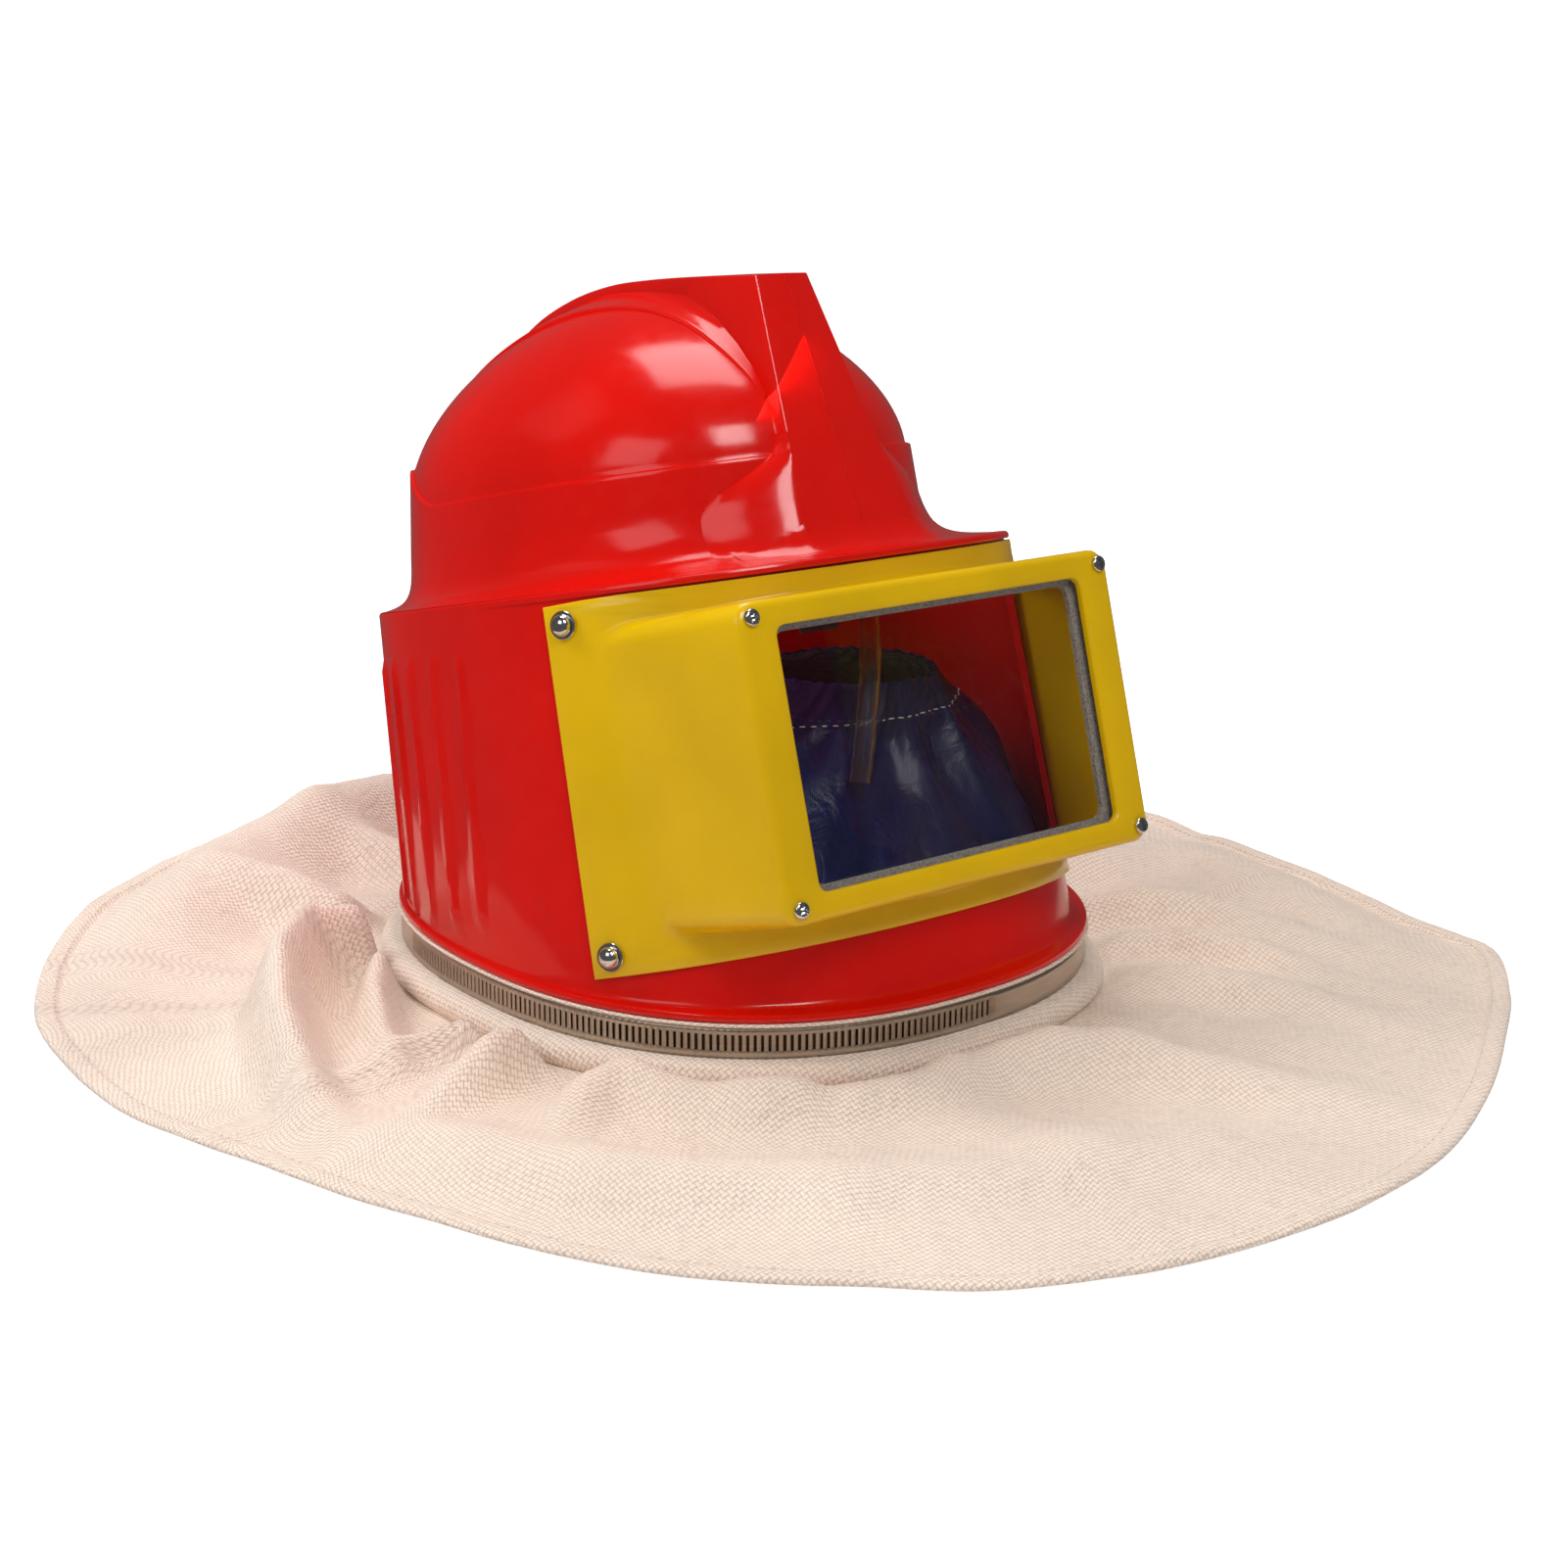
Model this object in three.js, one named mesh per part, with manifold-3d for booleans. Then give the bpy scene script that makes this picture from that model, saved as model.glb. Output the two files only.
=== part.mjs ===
// Sandblasting hood: a moulded shell with a crest and a brim, a yellow window box bolted to
// its front, a canvas cape clamped under its rim and a gathered neck seal inside.
// Millimetres, +Z up. The window faces -Y and the cape lies on Z = 0.

import Module from 'manifold-3d';
import * as THREE from 'three';
import { mergeVertices } from 'three/addons/utils/BufferGeometryUtils.js';

const wasm = await Module();
wasm.setup();

// Rim of the shell, where the cape is clamped
const rimHeight = 32;
const rimHalfWidth = 155;
const rimHalfFront = 167;
const rimHalfBack = 177;
const rimLip = 3.5;
const rimLedge = 3.5;
const rimFrontLedge = 11;
const collarDepth = 19;
const planRoundness = 2.3;
const ringSides = 56;

// Walls and fits
const shellWall = 3;
const seatGap = 0.3;
const layerGap = 0.7;

// Crown: everything above the shoulder leans back about this centre
const crownLean = 12.5;
const crownCentreY = 41;
const crownHeight = 155;
const shoulderHalfWidth = 142.5;
const shoulderHalfFront = 151;
const shoulderHalfBack = 158;
const brimOverhang = 5;
const brimLip = 3.3;
const flareHeight = 24;

// Dome and the raised band round its foot
const domeHalfWidth = 111;
const domeHalfLength = 137;
const domeSetBack = 20;
const domeRise = 88;
const domeFullness = 1.78;
const bandTop = 51;
const bandProud = 2.5;
const bandRearRise = 20;

// Crest over the dome
const crestTop = 145.5;
const crestFront = -100;
const crestLength = 230;
const crestFrontHalfWidth = 15.3;
const crestFootHalfWidth = 33;
const crestFrontSlope = 0.28;
const crestNose = 4;
const saddleHalfWidth = 44;
const saddleProud = 2;

// Ribs pressed into the sides of the shell
const ribCount = 5;
const ribPitch = 23.4;
const ribWidth = 5;
const ribProud = 1.4;
const ribTop = 137;
const ribFoot = 20;
const ribFirstY = 25;

// Window box
const windowLean = 16;
const faceCentreY = -151.4;
const faceHeight = 118.1;
const faceHalfWidth = 107.5;
const faceHalfHeight = 68;
const faceCorner = 8;
const faceEdgeRound = 2.5;
const faceThickness = 3.5;
const boxWall = 3;
const boxFootDepth = 77;
const boxFootInset = 20.2;
const boxFootHalfWidth = shoulderHalfWidth - boxFootInset;
const boxFlare = (boxFootHalfWidth - faceHalfWidth) / boxFootDepth;
const boxDepth = 118;
const sideBorder = 19;
const topBorder = 11.8;
const openingHalfWidth = faceHalfWidth - sideBorder;
const openingHalfHeight = faceHalfHeight - topBorder;
const openingCorner = 5;
const plateThickness = 2.5;
const plateHalfHeight = 81.6;
const plateEdgeRound = 1;
const plateDepth = 103;
const cutoutInset = 8.3;
const cutoutHalfWidth = boxFootHalfWidth - cutoutInset;
const cutoutHalfHeight = faceHalfHeight - 2 * boxWall;

// Glass, gasket and the frame that clamps them
const lensSideLap = 6.5;
const lensTopLap = 3.8;
const lensHalfWidth = openingHalfWidth + lensSideLap;
const lensHalfHeight = openingHalfHeight + lensTopLap;
const lensThickness = 3;
const gasketThickness = 2.5;
const gasketInset = 2.5;
const clampThickness = 2;
const clampClearance = 0.6;

// Fasteners
const faceScrewInset = 6.6;
const faceScrewDrop = 7;
const faceScrewX = faceHalfWidth - faceScrewInset;
const faceScrewUp = faceHalfHeight - faceScrewDrop;
const faceScrewHead = 7.4;
const faceScrewHeadHeight = 2.2;
const faceScrewShank = 3.6;
const faceScrewLength = 15;
const boltInset = 9.2;
const boltHead = 9.6;
const boltHeadHeight = 4.2;
const boltShank = 4.6;
const boltWasher = 12.6;
const washerThickness = 1;
const holeClearance = 1;
const boltSeat = 0.6;

// Clamp band
const bandHeight = 14;
const bandThickness = 0.8;
const bandInset = 0.7;
const bandDrop = 2.2;
const slotCount = 106;
const slotPitch = 3.2;
const slotWidth = 1.3;
const slotHeight = 8;
const slotEndAngle = -87.6;
const slotFacet = 9.6;
const plainFacet = 21;
const screwHousingLength = 26;
const screwHousingHeight = 13;
const screwHousingDepth = 9;

// Canvas cape
const canvas = 1.8;
const capeRadius = 350;
const capeSides = 68;
const rollOut = 11;
const foldHeight = 38;
const hemWidth = 24;

// Neck seal
const sealCloth = 1.5;
const sealSides = 48;
const sealHeight = 121;
const neckRadius = 40;
const neckCentreX = 36;
const neckCentreY = -38;
const pleatCount = 12;
const pleatDepth = 3;

// Air tube, its socket and the strap of the head harness
const tubeDiameter = 10;
const tubeSides = 10;
const socketDiameter = 16;
const socketLength = 19.6;
const tubeEndGap = 0.4;
const strapWidth = 25;
const strapThickness = 2;
const strapX = 56;
const strapY = 10;
const strapEnd = 159;
const strapLean = 30;

// Flare between the brim and the foot of the band: how far out of the band's foot towards
// the brim's edge, how far up, and how much of the wall goes inwards and down
const flareRows = [
  { out: 1.0, up: 0.0, inward: 1.0, down: 1.5 },
  { out: 0.7, up: 0.03, inward: 0.0, down: 1.0 },
  { out: 0.37, up: 0.1, inward: 0.2, down: 1.0 },
  { out: 0.12, up: 0.4, inward: 0.8, down: 0.5 },
  { out: 0.0, up: 1.0, inward: 1.0, down: 0.0 },
];

// Line of the crest from front to rear: share of its length, its top as a share of the
// crest's top, its half width and the saddle's half width at its foot
const crestRows = [
  { back: 0.0, up: 0.905, halfWidth: 1.0, saddle: 0.58 },
  { back: 0.22, up: 0.952, halfWidth: 0.98, saddle: 0.8 },
  { back: 0.44, up: 0.99, halfWidth: 0.95, saddle: 0.97 },
  { back: 0.59, up: 1.0, halfWidth: 0.9, saddle: 1.0 },
  { back: 0.74, up: 0.97, halfWidth: 0.82, saddle: 0.93 },
  { back: 0.85, up: 0.915, halfWidth: 0.72, saddle: 0.78 },
  { back: 0.95, up: 0.815, halfWidth: 0.6, saddle: 0.52 },
];

// Plan of the cape's hem: angle round the hood and radius as a share of the cape's radius
const hemRows = [
  { angle: 0, reach: 0.97 },
  { angle: 22, reach: 0.99 },
  { angle: 45, reach: 1.01 },
  { angle: 68, reach: 1.03 },
  { angle: 90, reach: 1.04 },
  { angle: 112, reach: 0.99 },
  { angle: 135, reach: 0.965 },
  { angle: 158, reach: 0.955 },
  { angle: 180, reach: 0.92 },
  { angle: 200, reach: 0.905 },
  { angle: 220, reach: 0.95 },
  { angle: 240, reach: 1.02 },
  { angle: 265, reach: 1.065 },
  { angle: 285, reach: 1.055 },
  { angle: 303, reach: 1.045 },
  { angle: 318, reach: 1.07 },
  { angle: 332, reach: 1.03 },
  { angle: 346, reach: 0.975 },
];

// Folds of the cape: angle and half spread in degrees, where each begins, crests and ends
// between the roll (0) and the hem (1), and its height as a share of the tallest
const foldRows = [
  { angle: 183, spread: 15, from: -0.2, crest: 0.2, to: 0.62, height: 1.0 },
  { angle: 207, spread: 13, from: -0.2, crest: 0.12, to: 0.5, height: 0.62 },
  { angle: 150, spread: 42, from: 0.35, crest: 0.74, to: 0.97, height: 0.55 },
  { angle: 110, spread: 34, from: 0.3, crest: 0.7, to: 0.97, height: 0.4 },
  { angle: 229, spread: 12, from: -0.2, crest: 0.15, to: 0.6, height: 0.42 },
  { angle: 250, spread: 9, from: -0.2, crest: 0.08, to: 0.3, height: 0.22 },
  { angle: 270, spread: 9, from: -0.2, crest: 0.1, to: 0.4, height: 0.2 },
  { angle: 291, spread: 10, from: -0.2, crest: 0.1, to: 0.45, height: 0.28 },
  { angle: 318, spread: 14, from: -0.2, crest: 0.12, to: 0.5, height: 0.4 },
  { angle: 345, spread: 16, from: -0.2, crest: 0.15, to: 0.7, height: 0.75 },
  { angle: 20, spread: 18, from: -0.2, crest: 0.2, to: 0.8, height: 0.6 },
  { angle: 62, spread: 20, from: -0.2, crest: 0.22, to: 0.7, height: 0.66 },
  { angle: 100, spread: 18, from: -0.2, crest: 0.18, to: 0.6, height: 0.6 },
  { angle: 138, spread: 16, from: -0.2, crest: 0.2, to: 0.55, height: 0.7 },
];

// Neck seal from its hem to its gathered lip: height as a share of the seal's height, whether
// it sits in the collar or above it, how far it has closed from the shell's inside to the
// neck opening at the front and elsewhere, and how deep its pleats are there
const sealRows = [
  { up: -0.1, seat: 1, front: 0.0, sides: 0.0, pleat: 0.0 },
  { up: -0.01, seat: 0, front: 0.0, sides: 0.0, pleat: 0.0 },
  { up: 0.36, seat: 0, front: 0.34, sides: 0.08, pleat: 0.7 },
  { up: 0.6, seat: 0, front: 0.7, sides: 0.27, pleat: 1.0 },
  { up: 0.76, seat: 0, front: 0.88, sides: 0.52, pleat: 1.0 },
  { up: 0.9, seat: 0, front: 0.97, sides: 0.82, pleat: 0.6 },
  { up: 1.0, seat: 0, front: 1.0, sides: 1.0, pleat: 0.4 },
];

// Route of the air tube, from its socket under the crown down to its bare end
const tubeRoute = [
  [10, -80, 198],
  [10, -80, 190],
  [8, -83.5, 179],
  [4, -89, 166],
  [-1, -93, 148],
  [-6, -97, 131],
  [-11, -100, 116],
];

const radians = THREE.MathUtils.degToRad;

// The crown's own frame: X across, Y to the back and Z up along the leaning crown
const crownFrame = new THREE.Matrix4()
  .makeTranslation(0, crownCentreY, rimHeight + crownHeight)
  .multiply(new THREE.Matrix4().makeRotationX(-radians(crownLean)));

// The window's own frame: X across, Y up along the glass and Z out of it
const faceFrame = new THREE.Matrix4()
  .makeTranslation(0, faceCentreY, rimHeight + faceHeight)
  .multiply(new THREE.Matrix4().makeRotationX(radians(90 - windowLean)));

const moulded = (color) => new THREE.MeshStandardMaterial({ color, roughness: 0.25, metalness: 0 });
const cloth = (color) => new THREE.MeshStandardMaterial({ color, roughness: 0.9, metalness: 0 });
const steel = (color) => new THREE.MeshStandardMaterial({ color, roughness: 0.3, metalness: 1 });

const materials = {
  shell: moulded('#d11507'),
  frame: moulded('#dcbc0e'),
  glass: new THREE.MeshStandardMaterial({
    color: '#eef3f3', roughness: 0.05, metalness: 0, transparent: true, opacity: 0.3,
  }),
  gasket: new THREE.MeshStandardMaterial({ color: '#a9a29a', roughness: 0.8, metalness: 0 }),
  chrome: steel('#d8d8d8'),
  band: steel('#a8947f'),
  canvas: cloth('#e9d8c6'),
  nylon: cloth('#1b2550'),
  webbing: cloth('#17171a'),
};

// Solids and meshes

function solidOf(positions, faces) {
  const geometry = new THREE.BufferGeometry();
  geometry.setAttribute('position', new THREE.Float32BufferAttribute(positions.flat(), 3));
  geometry.setIndex(faces.flat());
  return weld(geometry);
}

function weld(source) {
  const geometry = source.clone();
  geometry.deleteAttribute('normal');
  geometry.deleteAttribute('uv');
  const merged = mergeVertices(geometry, 1e-4);
  return new wasm.Manifold(new wasm.Mesh({
    numProp: 3,
    vertProperties: new Float32Array(merged.attributes.position.array),
    triVerts: new Uint32Array(merged.index.array),
  }));
}

function meshOf(name, solid, material) {
  const { vertProperties, triVerts } = solid.getMesh();
  const geometry = new THREE.BufferGeometry();
  geometry.setAttribute('position', new THREE.Float32BufferAttribute(vertProperties, 3));
  geometry.setIndex(Array.from(triVerts));
  geometry.computeVertexNormals();
  const mesh = new THREE.Mesh(geometry, material);
  mesh.name = name;
  return mesh;
}

const moved = (solid, matrix) => solid.transform(matrix.elements);

// A closed skin over rings of equal length, from the first to the last. A closed loop of
// rings joins the last to the first, and otherwise both ends are capped.
function loft(rings, { loop = false, capPoint = false } = {}) {
  const count = rings[0].length;
  const positions = rings.flat();
  const faces = [];
  const last = loop ? rings.length : rings.length - 1;
  for (let i = 0; i < last; i++) {
    const low = i * count;
    const high = ((i + 1) % rings.length) * count;
    for (let j = 0; j < count; j++) {
      const k = (j + 1) % count;
      faces.push([low + j, low + k, high + k], [low + j, high + k, high + j]);
    }
  }
  if (!loop) {
    capRing(positions, faces, 0, count, true, capPoint);
    capRing(positions, faces, (rings.length - 1) * count, count, false, capPoint);
  }
  return solidOf(positions, faces);
}

function capRing(positions, faces, start, count, flip, fromCorner) {
  if (fromCorner) {
    for (let j = 1; j < count - 1; j++) {
      faces.push(flip ? [start, start + j + 1, start + j] : [start, start + j, start + j + 1]);
    }
    return;
  }
  const centre = [0, 1, 2].map((axis) => {
    let sum = 0;
    for (let j = 0; j < count; j++) sum += positions[start + j][axis];
    return sum / count;
  });
  const hub = positions.push(centre) - 1;
  for (let j = 0; j < count; j++) {
    const k = (j + 1) % count;
    faces.push(flip ? [hub, start + k, start + j] : [hub, start + j, start + k]);
  }
}

// One point of a rounded oval: the angle runs from +X through the back
function ovalPoint(angle, { halfWidth, halfFront, halfBack, roundness = planRoundness }) {
  const power = 2 / roundness;
  const c = Math.cos(angle);
  const s = Math.sin(angle);
  const reach = s < 0 ? halfFront : halfBack;
  return [halfWidth * Math.sign(c) * Math.abs(c) ** power, reach * Math.sign(s) * Math.abs(s) ** power];
}

function ovalRing(oval, height, frame = null) {
  return Array.from({ length: ringSides }, (_, i) => {
    const angle = (2 * Math.PI * i) / ringSides;
    const [x, y] = ovalPoint(angle, oval);
    const up = typeof height === 'function' ? height(angle) : height;
    const point = new THREE.Vector3(x, y + (oval.shift ?? 0), up);
    return (frame ? point.applyMatrix4(frame) : point).toArray();
  });
}

const grown = (oval, by) => ({
  ...oval,
  halfWidth: oval.halfWidth + by,
  halfFront: oval.halfFront + by,
  halfBack: oval.halfBack + by,
});

const between = (a, b, share) => ({
  ...a,
  halfWidth: THREE.MathUtils.lerp(a.halfWidth, b.halfWidth, share),
  halfFront: THREE.MathUtils.lerp(a.halfFront, b.halfFront, share),
  halfBack: THREE.MathUtils.lerp(a.halfBack, b.halfBack, share),
  shift: THREE.MathUtils.lerp(a.shift ?? 0, b.shift ?? 0, share),
});

// Ovals of the hood
const rimOval = { halfWidth: rimHalfWidth, halfFront: rimHalfFront, halfBack: rimHalfBack };
const footOval = {
  halfWidth: rimHalfWidth - rimLedge,
  halfFront: rimHalfFront - rimFrontLedge,
  halfBack: rimHalfBack - rimLedge,
};
const shoulderOval = {
  halfWidth: shoulderHalfWidth,
  halfFront: shoulderHalfFront,
  halfBack: shoulderHalfBack,
};
const brimOval = { ...shoulderOval, halfFront: shoulderHalfFront + brimOverhang };
const domeOval = {
  halfWidth: domeHalfWidth,
  halfFront: domeHalfLength,
  halfBack: domeHalfLength,
  shift: domeSetBack,
  roundness: 2.1,
};
const bandOval = grown(rimOval, -bandInset);
const capeCollarOval = grown(bandOval, -bandThickness - layerGap);
const collarOval = grown(capeCollarOval, -canvas - layerGap);

// Lower shell as one tapered solid, grown or shrunk all round
function bodySolid(growth) {
  return loft([
    ovalRing(grown(footOval, growth), rimHeight + rimLip),
    ovalRing(grown(shoulderOval, growth), 0, crownFrame),
    ovalRing(grown(shoulderOval, growth), flareHeight / 2, crownFrame),
  ]);
}

// The band's top edge steps up towards the rear
function bandEdge(angle) {
  const rear = THREE.MathUtils.smoothstep(Math.sin(angle), 0.15, 0.6);
  return bandRearRise * rear;
}

// A ring on the dome, given as a share of the way from the band's edge to the top
function domeRing(share, growth) {
  const power = 2 / domeFullness;
  const start = (angle) => Math.asin((bandEdge(angle) / domeRise) ** (1 / power));
  return Array.from({ length: ringSides }, (_, i) => {
    const angle = (2 * Math.PI * i) / ringSides;
    const lift = THREE.MathUtils.lerp(start(angle), Math.PI / 2, share);
    const [x, y] = ovalPoint(angle, grown(domeOval, growth));
    const across = Math.max(0, Math.cos(lift)) ** power;
    const point = new THREE.Vector3(
      x * across,
      domeSetBack + y * across,
      bandTop + (domeRise + growth) * Math.sin(lift) ** power,
    );
    return point.applyMatrix4(crownFrame).toArray();
  });
}

// Height of the dome over a place in the crown's frame
function domeHeight(x, y, growth = 0) {
  const across = x / (domeHalfWidth + growth);
  const along = (y - domeSetBack) / (domeHalfLength + growth);
  const out = Math.hypot(across, along) ** domeFullness;
  return bandTop + (domeRise + growth) * Math.max(0, 1 - out) ** (1 / domeFullness);
}

function crownRings(growth) {
  const bandFoot = grown({ ...domeOval }, bandProud + 1);
  const flare = flareRows.map(({ out, up, inward, down }) => ovalRing(
    grown(between(bandFoot, brimOval, out), growth * inward),
    brimLip + flareHeight * up + growth * down,
    crownFrame,
  ));
  const domeShares = growth < 0 ? [0.3, 0.55, 0.8] : [0.17, 0.35, 0.53, 0.7, 0.86];
  const edge = domeRing(0, growth + (growth < 0 ? 0 : bandProud));
  const step = growth < 0 ? [] : [domeRing(0, growth)];
  return [...flare, edge, ...step, ...domeShares.map((share) => domeRing(share, growth))];
}

// Crest and the saddle that it grows from, made smaller all round for the hollow inside
function crestSolid(inset) {
  const stations = crestRows.map(({ back, up, halfWidth }, index) => {
    const y = crestFront + crestLength * back + (index === 0 ? inset : 0);
    const wide = crestFrontHalfWidth * halfWidth - inset;
    const top = crestTop * up - inset;
    const foot = index === 0 ? 0 : domeHeight(0, y) - 3 * shellWall - inset;
    const nose = index === 0 ? crestNose : 0;
    const slope = index === 0 ? crestFrontSlope * (top - foot) : 0;
    const footWide = index === 0 ? crestFootHalfWidth - inset : wide + 1;
    return [
      [0, y - nose - slope, foot],
      [-footWide, y - slope, foot],
      [-wide, y, top],
      [0, y - nose, top],
      [wide, y, top],
      [footWide, y - slope, foot],
    ];
  });
  return moved(loft(stations, { capPoint: true }), crownFrame);
}

function saddleSolid(inset) {
  const stations = crestRows.map(({ back, halfWidth, saddle }) => {
    const y = crestFront + crestLength * back;
    const wide = saddleHalfWidth * saddle - inset;
    const neck = Math.min(crestFrontHalfWidth * halfWidth, wide * 0.9);
    const edge = domeHeight(wide, y) + saddleProud - inset;
    const shelf = domeHeight(neck, y) + 2.5 * saddleProud - inset;
    const foot = domeHeight(wide, y) - 2 * shellWall - inset;
    return [
      [0, y, foot],
      [-wide, y, foot],
      [-wide, y, edge],
      [-neck, y, shelf],
      [neck, y, shelf],
      [wide, y, edge],
      [wide, y, foot],
    ];
  });
  return moved(loft(stations, { capPoint: true }), crownFrame);
}

// Point on the lower shell at a given depth and height, on the +X side, and its normal
function bodyPoint(y, z, growth) {
  const edges = (angle) => {
    const [fx, fy] = ovalPoint(angle, grown(footOval, growth));
    const [sx, sy] = ovalPoint(angle, grown(shoulderOval, growth));
    const foot = new THREE.Vector3(fx, fy, rimHeight + rimLip);
    return [foot, new THREE.Vector3(sx, sy, 0).applyMatrix4(crownFrame)];
  };
  const at = (angle) => {
    const [foot, shoulder] = edges(angle);
    return foot.lerp(shoulder, (z - foot.z) / (shoulder.z - foot.z));
  };
  let low = -Math.PI / 2;
  let high = Math.PI / 2;
  for (let i = 0; i < 40; i++) {
    const middle = (low + high) / 2;
    if (at(middle).y < y) low = middle;
    else high = middle;
  }
  const step = 0.02;
  const along = at(low + step).sub(at(low - step));
  const [foot, shoulder] = edges(low);
  return { point: at(low), normal: along.cross(shoulder.sub(foot)).normalize() };
}

function ribSolids() {
  const ribs = [];
  const lean = Math.tan(radians(crownLean));
  for (let i = 0; i < ribCount; i++) {
    const y = ribFirstY + ribPitch * i;
    const ends = [[ribFoot, y - lean * (ribTop - ribFoot)], [ribTop, y]].map(([up, depth]) => {
      const { point, normal } = bodyPoint(depth, rimHeight + up, 0);
      const side = new THREE.Vector3(-normal.y, normal.x, 0).setLength(ribWidth / 2);
      const deep = normal.clone().multiplyScalar(-shellWall / 2);
      const proud = normal.clone().multiplyScalar(ribProud);
      return [
        point.clone().sub(side).add(deep),
        point.clone().sub(side.clone().multiplyScalar(0.5)).add(proud),
        point.clone().add(side.clone().multiplyScalar(0.5)).add(proud),
        point.clone().add(side).add(deep),
      ].map((corner) => corner.toArray());
    });
    const rib = loft(ends, { capPoint: true });
    ribs.push(facingOut(rib), facingOut(rib.mirror([1, 0, 0])));
  }
  return ribs;
}

const facingOut = (solid) => (solid.volume() < 0 ? solid.mirror([0, 0, 1]) : solid);

const unionOf = (solids) => solids.reduce((whole, solid) => whole.add(solid));

function shellOuter() {
  return loft([
    ovalRing(collarOval, rimHeight - collarDepth),
    ovalRing(collarOval, rimHeight),
    ovalRing(rimOval, rimHeight),
    ovalRing(rimOval, rimHeight + rimLip - 1),
    ovalRing(grown(rimOval, -1), rimHeight + rimLip),
    ovalRing(footOval, rimHeight + rimLip),
    ovalRing(shoulderOval, 0, crownFrame),
    ovalRing(brimOval, 0, crownFrame),
    ...crownRings(0),
  ]);
}

// The hollow of the shell, at a depth under its outer face
function shellHollow(depth) {
  const inside = grown(collarOval, -depth);
  return loft([
    ovalRing(inside, rimHeight - collarDepth - 1),
    ovalRing(inside, rimHeight),
    ovalRing(grown(footOval, -depth), rimHeight + rimLip + depth),
    ovalRing(grown(shoulderOval, -depth), -depth, crownFrame),
    ...crownRings(-depth).slice(1),
  ]).add(crestSolid(depth));
}

// Rounded rectangle in the window's frame
function windowRing(halfWidth, halfHeight, corner, depth) {
  const points = [];
  const steps = 2;
  const quarters = [[1, 1], [-1, 1], [-1, -1], [1, -1]];
  quarters.forEach(([sx, sy], quarter) => {
    for (let i = 0; i <= steps; i++) {
      const angle = (Math.PI / 2) * (quarter + i / steps);
      points.push([
        sx * (halfWidth - corner) + corner * Math.cos(angle),
        sy * (halfHeight - corner) + corner * Math.sin(angle),
        depth,
      ]);
    }
  });
  return points;
}

function windowBlock(rows) {
  return moved(loft(rows.map((row) => windowRing(...row)).reverse()), faceFrame);
}

function windowSlab(halfWidth, halfHeight, corner, front, back) {
  return windowBlock([[halfWidth, halfHeight, corner, front], [halfWidth, halfHeight, corner, back]]);
}

// A turned piece on the window's or plate's normal: rows of [radius, height]
function turned(rows, sides) {
  const profile = rows.map(([radius, height]) => new THREE.Vector2(radius, height));
  const lathe = new THREE.LatheGeometry(profile, sides);
  return weld(lathe).transform(new THREE.Matrix4().makeRotationX(Math.PI / 2).elements);
}

const rod = (diameter, from, to, sides = 8) => turned([
  [0, from], [diameter / 2, from], [diameter / 2, to], [0, to],
], sides);

const onFace = (x, up, depth = 0) => faceFrame.clone()
  .multiply(new THREE.Matrix4().makeTranslation(x, up, depth));

// Places of the four bolts: the plate's corners, set in by the same amount both ways
function boltFrames() {
  const frames = [];
  for (const up of [plateHalfHeight - boltInset, boltInset - plateHalfHeight]) {
    const place = new THREE.Vector3(0, up, boltInset - plateDepth).applyMatrix4(faceFrame);
    for (const side of [-1, 1]) {
      const { point, normal } = bodyPoint(place.y, place.z, seatGap + plateThickness);
      point.x *= side;
      normal.x *= side;
      const turn = new THREE.Quaternion().setFromUnitVectors(new THREE.Vector3(0, 0, 1), normal);
      frames.push(new THREE.Matrix4().compose(point, turn, new THREE.Vector3(1, 1, 1)));
    }
  }
  return frames;
}

const screwPlaces = [
  [-faceScrewX, faceScrewUp],
  [faceScrewX, faceScrewUp],
  [-faceScrewX, -faceScrewUp],
  [faceScrewX, -faceScrewUp],
];

const screwHoles = () => unionOf(screwPlaces.map(([x, up]) => moved(
  rod(faceScrewShank + holeClearance, -faceScrewLength - 5, 5),
  onFace(x, up),
)));

const boltHoles = () => unionOf(boltFrames().map((frame) => moved(
  rod(boltShank + holeClearance, -20, 5),
  frame,
)));

function makeShell() {
  const outer = unionOf([shellOuter(), crestSolid(0), saddleSolid(0), ...ribSolids()]);
  const cutout = windowSlab(cutoutHalfWidth, cutoutHalfHeight, openingCorner, 0, -1.25 * boxDepth);
  return outer.subtract(shellHollow(shellWall)).subtract(cutout).subtract(boltHoles());
}

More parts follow.
